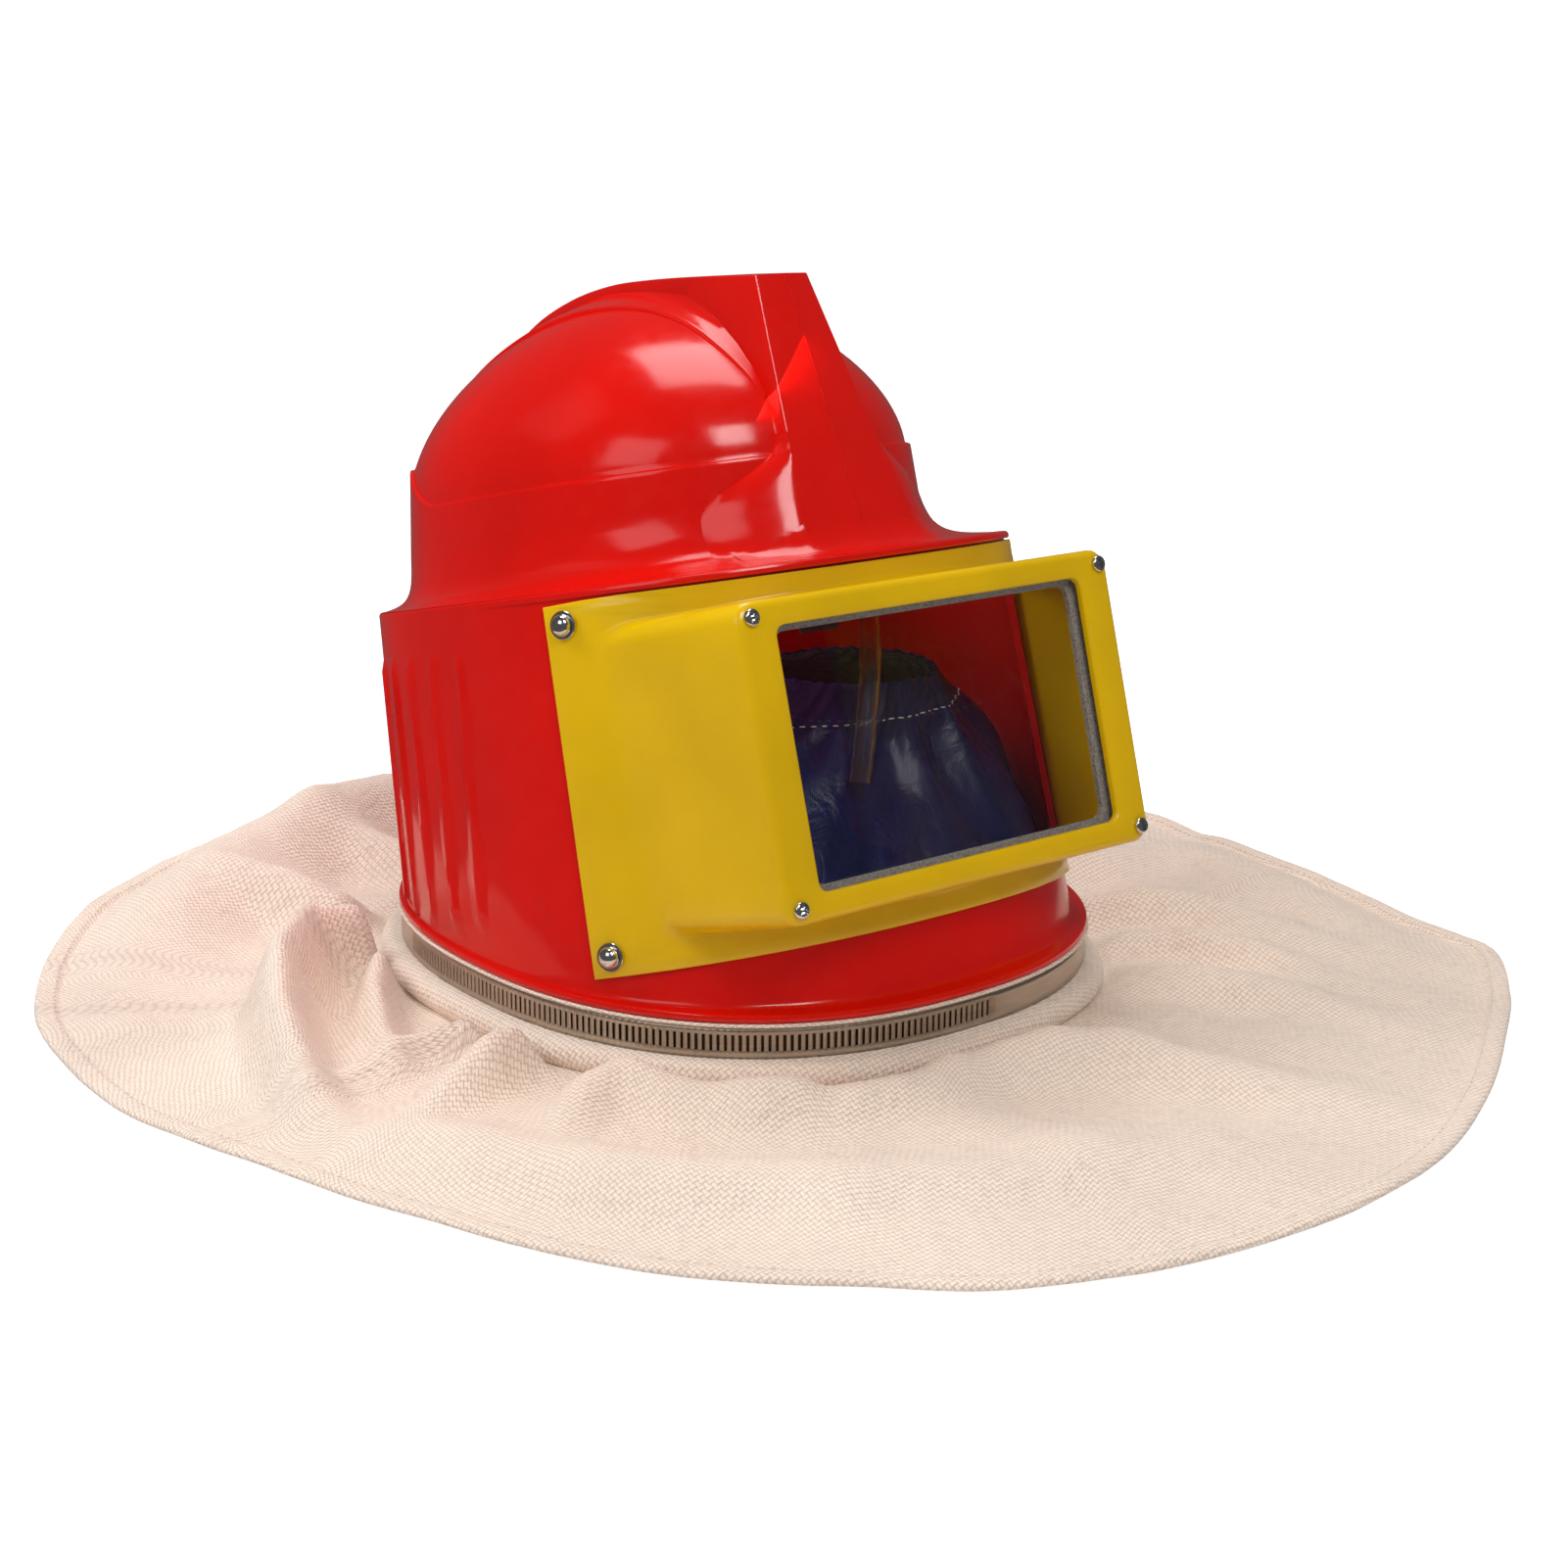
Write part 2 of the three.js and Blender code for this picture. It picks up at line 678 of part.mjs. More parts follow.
function makeVisorFrame() {
  const wide = 2 * rimHalfWidth;
  const plateBlock = windowSlab(wide, plateHalfHeight, plateEdgeRound, faceHalfWidth, -plateDepth);
  const underBrim = moved(loft([
    [[-wide, -wide, -wide], [wide, -wide, -wide], [wide, wide, -wide], [-wide, wide, -wide]],
    [[-wide, -wide, -seatGap], [wide, -wide, -seatGap], [wide, wide, -seatGap], [-wide, wide, -seatGap]],
  ], { capPoint: true }), crownFrame);
  const plate = bodySolid(seatGap + plateThickness).intersect(plateBlock).intersect(underBrim);
  const box = windowBlock([
    [faceHalfWidth - faceEdgeRound, faceHalfHeight - faceEdgeRound, faceCorner - faceEdgeRound, 0],
    [faceHalfWidth, faceHalfHeight, faceCorner, -faceEdgeRound],
    [faceHalfWidth + boxFlare * boxDepth, faceHalfHeight, faceCorner, -boxDepth],
  ]).intersect(underBrim);
  const hollow = windowBlock([
    [
      faceHalfWidth - boxWall + boxFlare * faceThickness,
      faceHalfHeight - boxWall,
      faceCorner - boxWall,
      -faceThickness,
    ],
    [
      faceHalfWidth - boxWall + boxFlare * (boxDepth + 5),
      faceHalfHeight - boxWall,
      faceCorner - boxWall,
      -boxDepth - 5,
    ],
  ]);
  const opening = windowSlab(openingHalfWidth, openingHalfHeight, openingCorner, 5, -10);
  return plate.add(box)
    .subtract(bodySolid(seatGap))
    .subtract(hollow)
    .subtract(opening)
    .subtract(screwHoles())
    .subtract(boltHoles());
}

const lensFront = -faceThickness - seatGap;
const gasketFront = lensFront - lensThickness - seatGap;
const clampFront = gasketFront - gasketThickness - seatGap;

const makeLens = () => windowSlab(
  lensHalfWidth, lensHalfHeight, openingCorner, lensFront, lensFront - lensThickness,
);

function makeGasket() {
  const back = gasketFront - gasketThickness;
  return windowSlab(lensHalfWidth, lensHalfHeight, openingCorner, gasketFront, back)
    .subtract(windowSlab(
      openingHalfWidth - gasketInset, openingHalfHeight - gasketInset, openingCorner,
      gasketFront + 1, back - 1,
    ));
}

function makeClampFrame() {
  const back = clampFront - clampThickness;
  const halfWidth = faceHalfWidth - boxWall - clampClearance;
  const halfHeight = faceHalfHeight - boxWall - clampClearance;
  return windowSlab(halfWidth, halfHeight, openingCorner, clampFront, back)
    .subtract(windowSlab(openingHalfWidth, openingHalfHeight, openingCorner, clampFront + 1, back - 1))
    .subtract(screwHoles());
}

function makeFaceScrew([x, up]) {
  const head = faceScrewHead / 2;
  const shank = faceScrewShank / 2;
  const top = seatGap + faceScrewHeadHeight;
  return moved(turned([
    [0, -faceScrewLength], [shank, -faceScrewLength], [shank, seatGap], [head, seatGap],
    [head, seatGap + faceScrewHeadHeight * 0.4], [head * 0.6, top], [0, top],
  ], 10), onFace(x, up));
}

function makeBolt(frame) {
  const head = boltHead / 2;
  const shank = boltShank / 2;
  const seat = boltSeat + washerThickness + seatGap;
  const end = -seatGap - plateThickness - shellWall - 3;
  return moved(turned([
    [0, end], [shank, end], [shank, seat], [head, seat], [head, seat + boltHeadHeight * 0.35],
    [head * 0.7, seat + boltHeadHeight * 0.85], [0, seat + boltHeadHeight],
  ], 10), frame);
}

function makeWasher(frame) {
  const hole = (boltShank + holeClearance) / 2;
  const rim = boltWasher / 2;
  return moved(turned([
    [hole, boltSeat], [rim, boltSeat], [rim, boltSeat + washerThickness],
    [hole, boltSeat + washerThickness], [hole, boltSeat],
  ], 10), frame);
}

// Angles round an oval at which its outline has run a given length
function anglesAlong(oval, startAngle, lengths) {
  const step = radians(0.05);
  const angles = [];
  let angle = startAngle;
  let run = 0;
  let [px, py] = ovalPoint(angle, oval);
  for (const length of lengths) {
    while (run < length) {
      angle -= step;
      const [x, y] = ovalPoint(angle, oval);
      run += Math.hypot(x - px, y - py);
      [px, py] = [x, y];
    }
    angles.push(angle);
  }
  return angles;
}

function ovalLength(oval) {
  let length = 0;
  for (let i = 0; i < 7200; i++) {
    const [ax, ay] = ovalPoint(radians(i / 20), oval);
    const [bx, by] = ovalPoint(radians((i + 1) / 20), oval);
    length += Math.hypot(bx - ax, by - ay);
  }
  return length;
}

// The band is a ribbon bent round the collar, with the worm's slots cut through it
function makeClampBand() {
  const top = rimHeight - bandDrop;
  const bottom = top - bandHeight;
  const slotted = slotCount * slotPitch;
  const length = ovalLength(bandOval);
  const slotFacets = Math.round(slotted / slotFacet);
  const plainFacets = Math.round((length - slotted) / plainFacet);
  const stops = [];
  for (let i = 0; i < slotFacets; i++) stops.push((slotted * i) / slotFacets);
  for (let i = 0; i < plainFacets; i++) stops.push(slotted + ((length - slotted) * i) / plainFacets);
  const angles = anglesAlong(bandOval, radians(slotEndAngle), stops).reverse();
  const edge = (oval, height) => angles.map((angle) => [...ovalPoint(angle, oval), height]);
  const inside = grown(bandOval, -bandThickness);
  const ribbon = loft([
    edge(inside, top), edge(inside, bottom), edge(bandOval, bottom), edge(bandOval, top),
  ], { loop: true });
  const middles = Array.from({ length: slotCount }, (_, i) => (i + 0.5) * slotPitch);
  const slots = anglesAlong(bandOval, radians(slotEndAngle), middles).map((angle) => {
    const [x, y] = ovalPoint(angle, grown(bandOval, -bandThickness / 2));
    const [ax, ay] = ovalPoint(angle - 0.01, bandOval);
    const [bx, by] = ovalPoint(angle + 0.01, bandOval);
    const slot = new THREE.BoxGeometry(slotWidth, 6 * bandThickness, slotHeight);
    slot.rotateZ(Math.atan2(by - ay, bx - ax));
    slot.translate(x, y, (top + bottom) / 2);
    return weld(slot);
  });
  return ribbon.subtract(unionOf(slots));
}

function makeBandScrew() {
  const middle = rimHeight - bandDrop - bandHeight / 2;
  const [, back] = ovalPoint(Math.PI / 2, bandOval);
  const housing = new THREE.BoxGeometry(screwHousingLength, screwHousingDepth, screwHousingHeight);
  housing.translate(0, back + seatGap + screwHousingDepth / 2, middle);
  const screw = rod(screwHousingHeight * 0.6, -screwHousingLength * 0.75, screwHousingLength * 0.75);
  const lay = new THREE.Matrix4()
    .makeTranslation(0, back + seatGap + screwHousingDepth / 2, middle)
    .multiply(new THREE.Matrix4().makeRotationY(Math.PI / 2));
  return weld(housing).add(moved(screw, lay));
}

// Smooth value of a ring table at an angle in degrees, closed at 360
function roundTable(rows, key, angle) {
  const turn = THREE.MathUtils.euclideanModulo(angle, 360);
  const count = rows.length;
  let i = rows.findIndex((row) => row.angle > turn);
  if (i < 0) i = count;
  const pick = (n) => rows[THREE.MathUtils.euclideanModulo(n, count)];
  const start = pick(i - 1);
  const end = pick(i);
  const span = THREE.MathUtils.euclideanModulo(end.angle - start.angle, 360) || 360;
  const t = THREE.MathUtils.euclideanModulo(turn - start.angle, 360) / span;
  const [p0, p1, p2, p3] = [pick(i - 2), start, end, pick(i + 1)].map((row) => row[key]);
  return p1 + 0.5 * t * (p2 - p0 + t * (2 * p0 - 5 * p1 + 4 * p2 - p3 + t * (3 * (p1 - p2) + p3 - p0)));
}

function foldLift(angle, share) {
  let lift = 0;
  for (const row of foldRows) {
    const off = THREE.MathUtils.euclideanModulo(angle - row.angle + 180, 360) - 180;
    if (Math.abs(off) >= row.spread) continue;
    const side = Math.cos((off / row.spread) * (Math.PI / 2)) ** 2;
    const rise = THREE.MathUtils.smoothstep(share, row.from, row.crest);
    const fall = 1 - THREE.MathUtils.smoothstep(share, row.crest, row.to);
    lift = Math.max(lift, row.height * side * rise * fall);
  }
  return foldHeight * lift;
}

// One radial section of the cape: distance out of the collar, and height
function capeSection(angle, rollRadius, hemRadius) {
  const bandFoot = rimHeight - bandDrop - bandHeight - 2 * seatGap;
  const valley = canvas + 3;
  const line = [
    [0, rimHeight - seatGap - 0.2],
    [0, bandFoot],
    [rollOut * 0.62, bandFoot - 1],
    [rollOut, bandFoot * 0.62],
    [rollOut * 1.25, valley + 2],
  ];
  const start = rollOut * 1.9;
  const reach = hemRadius - rollRadius;
  for (const share of [0, 0.15, 0.33, 0.55, 0.78]) {
    const out = start + (reach - hemWidth - start) * share;
    const rest = canvas + 3 * (1 - share);
    line.push([out, rest + foldLift(angle, share)]);
  }
  line.push([reach - hemWidth, canvas], [reach, canvas]);
  return line;
}

// The same section moved down and inwards by the cloth's thickness
function undersideOf(line) {
  return line.map(([out, up], i) => {
    const before = line[Math.max(i - 1, 0)];
    const after = line[Math.min(i + 1, line.length - 1)];
    const run = [after[0] - before[0], after[1] - before[1]];
    const length = Math.hypot(...run);
    if (i >= line.length - 2) return [out, 0];
    return [out + (run[1] / length) * canvas, Math.max(0.05, up - (run[0] / length) * canvas)];
  });
}

function makeCape() {
  const sections = Array.from({ length: capeSides }, (_, i) => {
    const angle = (360 * i) / capeSides;
    const [cx, cy] = ovalAt(radians(angle), capeCollarOval);
    const rollRadius = Math.hypot(cx, cy);
    const hemRadius = capeRadius * roundTable(hemRows, 'reach', angle);
    const line = capeSection(angle, rollRadius, hemRadius);
    return [...line, ...undersideOf(line).reverse()].map(([out, up]) => {
      const radius = rollRadius + out;
      return [radius * Math.cos(radians(angle)), radius * Math.sin(radians(angle)), up];
    });
  });
  const rings = sections[0].map((_, j) => sections.map((section) => section[j]));
  return loft(rings.reverse(), { loop: true });
}

// Point of an oval in a true direction from its centre
function ovalAt(direction, { halfWidth, halfFront, halfBack, roundness = planRoundness }) {
  const c = Math.cos(direction);
  const s = Math.sin(direction);
  const reach = s < 0 ? halfFront : halfBack;
  const radius = (Math.abs(c / halfWidth) ** roundness + Math.abs(s / reach) ** roundness)
    ** (-1 / roundness);
  return [radius * c, radius * s];
}

function makeNeckSeal() {
  const seated = grown(collarOval, -shellWall - layerGap);
  const above = { ...seated, halfFront: footOval.halfFront - shellWall - layerGap };
  const skin = (growth) => sealRows.map(({ up, seat, front, sides, pleat }) => (
    Array.from({ length: sealSides }, (_, i) => {
      const angle = (2 * Math.PI * i) / sealSides;
      const forward = Math.max(0, -Math.sin(angle)) ** 1.5;
      const closed = THREE.MathUtils.lerp(sides, front, forward);
      const [hx, hy] = ovalAt(angle, grown(seat ? seated : above, growth));
      const radius = neckRadius + sealCloth + growth;
      const nx = neckCentreX + radius * Math.cos(angle);
      const ny = neckCentreY + radius * Math.sin(angle);
      const fold = -pleatDepth * pleat * (1 + Math.cos(pleatCount * angle)) / 2;
      const lean = closed ** 2 * growth;
      return [
        THREE.MathUtils.lerp(hx, nx, closed) + fold * Math.cos(angle),
        THREE.MathUtils.lerp(hy, ny, closed) + fold * Math.sin(angle),
        rimHeight + sealHeight * up + (closed > 0.2 && closed < 1 ? lean : 0),
      ];
    })
  ));
  return loft([...skin(0), ...skin(-sealCloth).reverse()], { loop: true });
}

function makeAirTube() {
  const curve = new THREE.CatmullRomCurve3(tubeRoute.map((place) => new THREE.Vector3(...place)));
  const outline = Array.from({ length: tubeSides }, (_, i) => {
    const angle = (2 * Math.PI * i) / tubeSides;
    return new THREE.Vector2(Math.cos(angle), Math.sin(angle)).multiplyScalar(tubeDiameter / 2);
  });
  return weld(new THREE.ExtrudeGeometry(new THREE.Shape(outline), {
    extrudePath: curve,
    steps: 6,
    bevelEnabled: false,
  }));
}

// A plain stub for the tube, standing against the inside of the crown
function makeTubeSocket() {
  const [x, y, z] = tubeRoute[0];
  const stub = turned([
    [0, 0], [socketDiameter / 2, 0], [socketDiameter / 2, socketLength], [0, socketLength],
  ], 12);
  return moved(stub, new THREE.Matrix4().makeTranslation(x, y, z + tubeEndGap))
    .intersect(shellHollow(shellWall + seatGap));
}

function makeHarnessStrap() {
  const corners = (z, y) => [
    [strapX - strapWidth / 2, y - strapThickness / 2, z],
    [strapX + strapWidth / 2, y - strapThickness / 2, z],
    [strapX + strapWidth / 2, y + strapThickness / 2, z],
    [strapX - strapWidth / 2, y + strapThickness / 2, z],
  ];
  const top = rimHeight + crownHeight + crestTop;
  return loft([corners(strapEnd, strapY), corners(top, strapY + strapLean)], { capPoint: true })
    .intersect(shellHollow(shellWall + seatGap));
}

const hood = new THREE.Group();

hood.add(meshOf('shell', makeShell(), materials.shell));
hood.add(meshOf('visor_frame', makeVisorFrame(), materials.frame));
hood.add(meshOf('lens', makeLens(), materials.glass));
hood.add(meshOf('lens_gasket', makeGasket(), materials.gasket));
hood.add(meshOf('lens_clamp', makeClampFrame(), materials.gasket));
screwPlaces.forEach((place, i) => {
  hood.add(meshOf(`face_screw_${i + 1}`, makeFaceScrew(place), materials.chrome));
});
boltFrames().forEach((frame, i) => {
  hood.add(meshOf(`dome_bolt_${i + 1}`, makeBolt(frame), materials.chrome));
  hood.add(meshOf(`bolt_washer_${i + 1}`, makeWasher(frame), materials.chrome));
});
hood.add(meshOf('clamp_band', makeClampBand(), materials.band));
hood.add(meshOf('band_screw', makeBandScrew(), materials.band));
hood.add(meshOf('cape', makeCape(), materials.canvas));
hood.add(meshOf('neck_seal', makeNeckSeal(), materials.nylon));
hood.add(meshOf('air_tube', makeAirTube(), materials.glass));
hood.add(meshOf('tube_socket', makeTubeSocket(), materials.shell));
hood.add(meshOf('harness_strap', makeHarnessStrap(), materials.webbing));

// The origin is the middle of the whole hood's footprint
const footprint = new THREE.Box3().setFromObject(hood).getCenter(new THREE.Vector3());
hood.position.set(-footprint.x, -footprint.y, 0);

export default hood;
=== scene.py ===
"""Sandblasting hood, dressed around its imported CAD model.

A moulded red shell with a crest and a brim, a yellow window box, a slotted steel band, a
canvas cape lying on the floor, and a gathered nylon neck seal with a clear air tube in front.
"""

import math

import bmesh
import bpy
from bpy.props import FloatProperty, FloatVectorProperty, IntProperty, PointerProperty
from mathutils import Matrix, Vector, noise


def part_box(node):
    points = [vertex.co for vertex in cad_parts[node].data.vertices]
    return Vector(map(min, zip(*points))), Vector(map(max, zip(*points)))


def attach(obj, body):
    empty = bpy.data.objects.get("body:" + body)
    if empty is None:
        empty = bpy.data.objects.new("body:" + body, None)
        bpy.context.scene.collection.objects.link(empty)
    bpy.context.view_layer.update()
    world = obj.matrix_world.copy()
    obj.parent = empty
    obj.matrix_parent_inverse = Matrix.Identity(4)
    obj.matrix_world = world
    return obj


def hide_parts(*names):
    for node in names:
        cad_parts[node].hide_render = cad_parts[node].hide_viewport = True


bl_info = {
    "name": "Sandblasting hood",
    "version": (1, 0, 0),
    "blender": (4, 5, 0),
    "location": "View3D > Sidebar > Hood",
    "description": "Builds a sandblasting hood lying on its spread cape, and its studio",
    "category": "Object",
}

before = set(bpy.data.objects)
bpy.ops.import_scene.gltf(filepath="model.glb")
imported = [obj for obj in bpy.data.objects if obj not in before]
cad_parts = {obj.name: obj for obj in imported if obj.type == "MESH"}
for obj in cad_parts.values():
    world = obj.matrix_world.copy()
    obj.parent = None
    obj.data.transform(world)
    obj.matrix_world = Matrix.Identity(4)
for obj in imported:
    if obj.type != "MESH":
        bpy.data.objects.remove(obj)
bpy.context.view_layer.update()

MM = 0.001
TURN = 2 * math.pi
MERGE = 1e-4

# How square an oval is: 2 is an ellipse
ROUNDNESS = 2.3

# Rim of the shell, in millimetres from its own centre
RIM_HEIGHT = 32
RIM = {"half_width": 155, "front": 167, "back": 177}
RIM_LIP = 3.5
COLLAR_DEPTH = 19
LAYER_GAP = 0.7
SEAT_GAP = 0.3
WALL = 3
FOOT = {"half_width": 151.5, "front": 156, "back": 173.5}
SHOULDER = {"half_width": 142.5, "front": 151, "back": 158}
BRIM = {"half_width": 142.5, "front": 156, "back": 158}
BRIM_LIP = 3.3
DOME = {"half_width": 111, "front": 137, "back": 137, "shift": 20, "roundness": 2.1}
FLARE_HEIGHT = 24
BAND_STEP = 51
BAND_PROUD = 2.5
BAND_REAR_RISE = 20
DOME_FULLNESS = 1.78
BAND_INSET = 0.7
BAND_THICKNESS = 0.8
CANVAS = 1.8

# The crown leans back about this point, and the window about its own
CROWN = Matrix.Translation((0, 41, 187)) @ Matrix.Rotation(math.radians(-12.5), 4, "X")
WINDOW = Matrix.Translation((0, -151.4, 150.1)) @ Matrix.Rotation(math.radians(74), 4, "X")
TO_CROWN = CROWN.inverted()
TO_WINDOW = WINDOW.inverted()

# Window box
FACE_HALF_WIDTH = 107.5
FACE_HALF_HEIGHT = 68
FACE_CORNER = 9
FACE_EDGE_ROUND = 4
FACE_THICKNESS = 3.5
BOX_WALL = 3
BOX_FLARE = 0.192
OPENING_HALF_WIDTH = 88.5
OPENING_HALF_HEIGHT = 56.2
OPENING_CORNER = 5
PLATE_THICKNESS = 2.5
PLATE_HALF_HEIGHT = 81.6
PLATE_DEPTH = 103
BOLT_INSET = 9.2
FACE_SCREW_X = 100.9
FACE_SCREW_UP = 61
CUTOUT_HALF_WIDTH = 114
CUTOUT_HALF_HEIGHT = 62
FRAME_FILLET = 6.0

# Slots of the clamp band
SLOT_PITCH = 3.2
SLOT_WIDTH = 1.3
SLOT_HEIGHT = 7.6
BAND_HEIGHT = 14
BAND_DROP = 2.2
PLAIN_STOPS = 150

# Length of the strip's middle line as a share of its outer one
STRIP_SHARE = 0.9973


class HoodSettings(bpy.types.PropertyGroup):
    """Sizes and colours that a user would change."""

    shell_color: FloatVectorProperty(
        name="Shell", description="Red of the moulded shell", subtype="COLOR_GAMMA",
        size=3, min=0, max=1, default=(0.82, 0.055, 0.02),
    )
    frame_color: FloatVectorProperty(
        name="Window frame", description="Yellow of the window box", subtype="COLOR_GAMMA",
        size=3, min=0, max=1, default=(0.86, 0.69, 0.0),
    )
    canvas_color: FloatVectorProperty(
        name="Canvas", description="Undyed canvas of the cape", subtype="COLOR_GAMMA",
        size=3, min=0, max=1, default=(0.955, 0.873, 0.808),
    )
    nylon_color: FloatVectorProperty(
        name="Nylon", description="Navy nylon of the neck seal", subtype="COLOR_GAMMA",
        size=3, min=0, max=1, default=(0.055, 0.09, 0.28),
    )
    thread_pitch: FloatProperty(
        name="Thread pitch", description="Spacing of the canvas's threads",
        subtype="DISTANCE", unit="LENGTH", default=2.4 * MM, min=0.5 * MM, max=4 * MM,
    )
    stitch_pitch: FloatProperty(
        name="Stitch pitch", description="Length of one hem stitch and its gap",
        subtype="DISTANCE", unit="LENGTH", default=4.6 * MM, min=2 * MM, max=10 * MM,
    )
    slot_count: IntProperty(
        name="Band slots", description="Slots cut through the clamp band",
        default=106, min=20, max=120,
    )
    shell_sides: IntProperty(
        name="Shell sides", description="Facets round the moulded shell",
        default=440, min=48, max=480,
    )


def rim_centre():
    """Place of the rim's centre in the row frame, from the band that goes round it."""
    low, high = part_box("clamp_band")
    return Vector((
        (low[0] + high[0]) / 2,
        low[1] + (RIM["front"] - BAND_INSET) * MM,
        0,
    ))


TO_ROW = Matrix.Translation(rim_centre()) @ Matrix.Scale(MM, 4)


# Materials


def linear(value):
    """One sRGB channel as linear light."""
    return value / 12.92 if value <= 0.04045 else ((value + 0.055) / 1.055) ** 2.4


def colour(source):
    """Linear RGBA from an sRGB hex value or three sRGB shares."""
    if isinstance(source, str):
        source = [int(source[i:i + 2], 16) / 255 for i in (1, 3, 5)]
    return (*[linear(channel) for channel in source], 1)


def add_node(tree, kind, inputs=None, **settings):
    """Adds a node with its settings, values and links."""
    made = tree.nodes.new(kind)
    for name, value in settings.items():
        setattr(made, name, value)
    for name, value in (inputs or {}).items():
        if isinstance(value, bpy.types.NodeSocket):
            tree.links.new(value, made.inputs[name])
        else:
            made.inputs[name].default_value = value
    return made


def new_material(name, **values):
    """An empty material with one Principled shader, whose values are set on its sockets."""
    material = bpy.data.materials.new(name)
    material.use_nodes = True
    tree = material.node_tree
    shader = tree.nodes["Principled BSDF"]
    for socket, value in values.items():
        shader.inputs[socket.replace("_", " ")].default_value = value
    return material, tree


def wire(tree, **outputs):
    """Links outputs to the sockets of those names on the Principled shader."""
    shader = tree.nodes["Principled BSDF"]
    for socket, output in outputs.items():
        tree.links.new(output, shader.inputs[socket.replace("_", " ")])


def object_place(tree):
    """Coordinates that stay with the object."""
    return add_node(tree, "ShaderNodeTexCoord").outputs["Object"]


def cloth_place(tree):
    """Coordinates on the cloth as it was cut, in metres."""
    return add_node(tree, "ShaderNodeUVMap", uv_map="cut").outputs["UV"]


def cloud(tree, place, scale, detail, **more):
    """Value of a noise texture."""
    return add_node(tree, "ShaderNodeTexNoise", {
        "Vector": place, "Scale": scale, "Detail": detail, **more,
    }).outputs["Fac"]


def bands(tree, place, scale, distortion, direction):
    """Value of a wave texture, which has a rib every 314 mm at a scale of 1."""
    return add_node(tree, "ShaderNodeTexWave", {
        "Vector": place, "Scale": scale, "Distortion": distortion,
    }, bands_direction=direction).outputs["Fac"]


def graded(tree, value, low, high, start=0.0, end=1.0):
    """A value that runs from low to high while the given one runs from start to end."""
    return add_node(tree, "ShaderNodeMapRange", {
        "Value": value, "From Min": start, "From Max": end, "To Min": low, "To Max": high,
    }).outputs["Result"]


def worked(tree, operation, *values):
    """Result of a sum on values."""
    return add_node(
        tree, "ShaderNodeMath", dict(enumerate(values)), operation=operation,
    ).outputs["Value"]


def pressed(tree, height, strength, distance, **under):
    """Normal of a bump, which can lie on another one."""
    return add_node(tree, "ShaderNodeBump", {
        "Height": height, "Strength": strength, "Distance": distance, **under,
    }).outputs["Normal"]


def tinted(tree, factor, dark, light, low=0.35, high=0.65):
    """A colour that wanders between two tints."""
    ramp = add_node(tree, "ShaderNodeValToRGB", {"Fac": factor})
    ramp.color_ramp.elements[0].position = low
    ramp.color_ramp.elements[0].color = dark
    ramp.color_ramp.elements[1].position = high
    ramp.color_ramp.elements[1].color = light
    return ramp.outputs["Color"]


def shaded(rgb, share):
    """The same sRGB colour, darker or lighter."""
    return colour([min(1, channel * share) for channel in rgb])


def moulded_plastic(name, rgb, roughness, glow):
    """Polyethylene, injection moulded in a polished tool: even colour and a wet gloss. Its
    glow is how much light comes through the wall."""
    material, tree = new_material(
        name, IOR=1.51, Specular_IOR_Level=0.42, Subsurface_Weight=glow,
        Subsurface_Scale=0.006, Subsurface_Radius=(1, 0.6, 0.1),
    )
    place = object_place(tree)
    # Flow marks, some 60 mm long
    flow = cloud(tree, place, 16, 3)
    # Handling scuffs a few millimetres across dull the gloss here and there
    scuff = cloud(tree, place, 140, 5)
    # The tool's polish leaves a faint orange peel of about 2 mm
    peel = cloud(tree, place, 420, 1)
    wire(
        tree, Base_Color=tinted(tree, flow, shaded(rgb, 0.97), shaded(rgb, 1.02)),
        Roughness=graded(tree, scuff, roughness, roughness + 0.08, 0.35, 0.75),
        Normal=pressed(tree, peel, 0.04, 0.0004),
    )
    return material


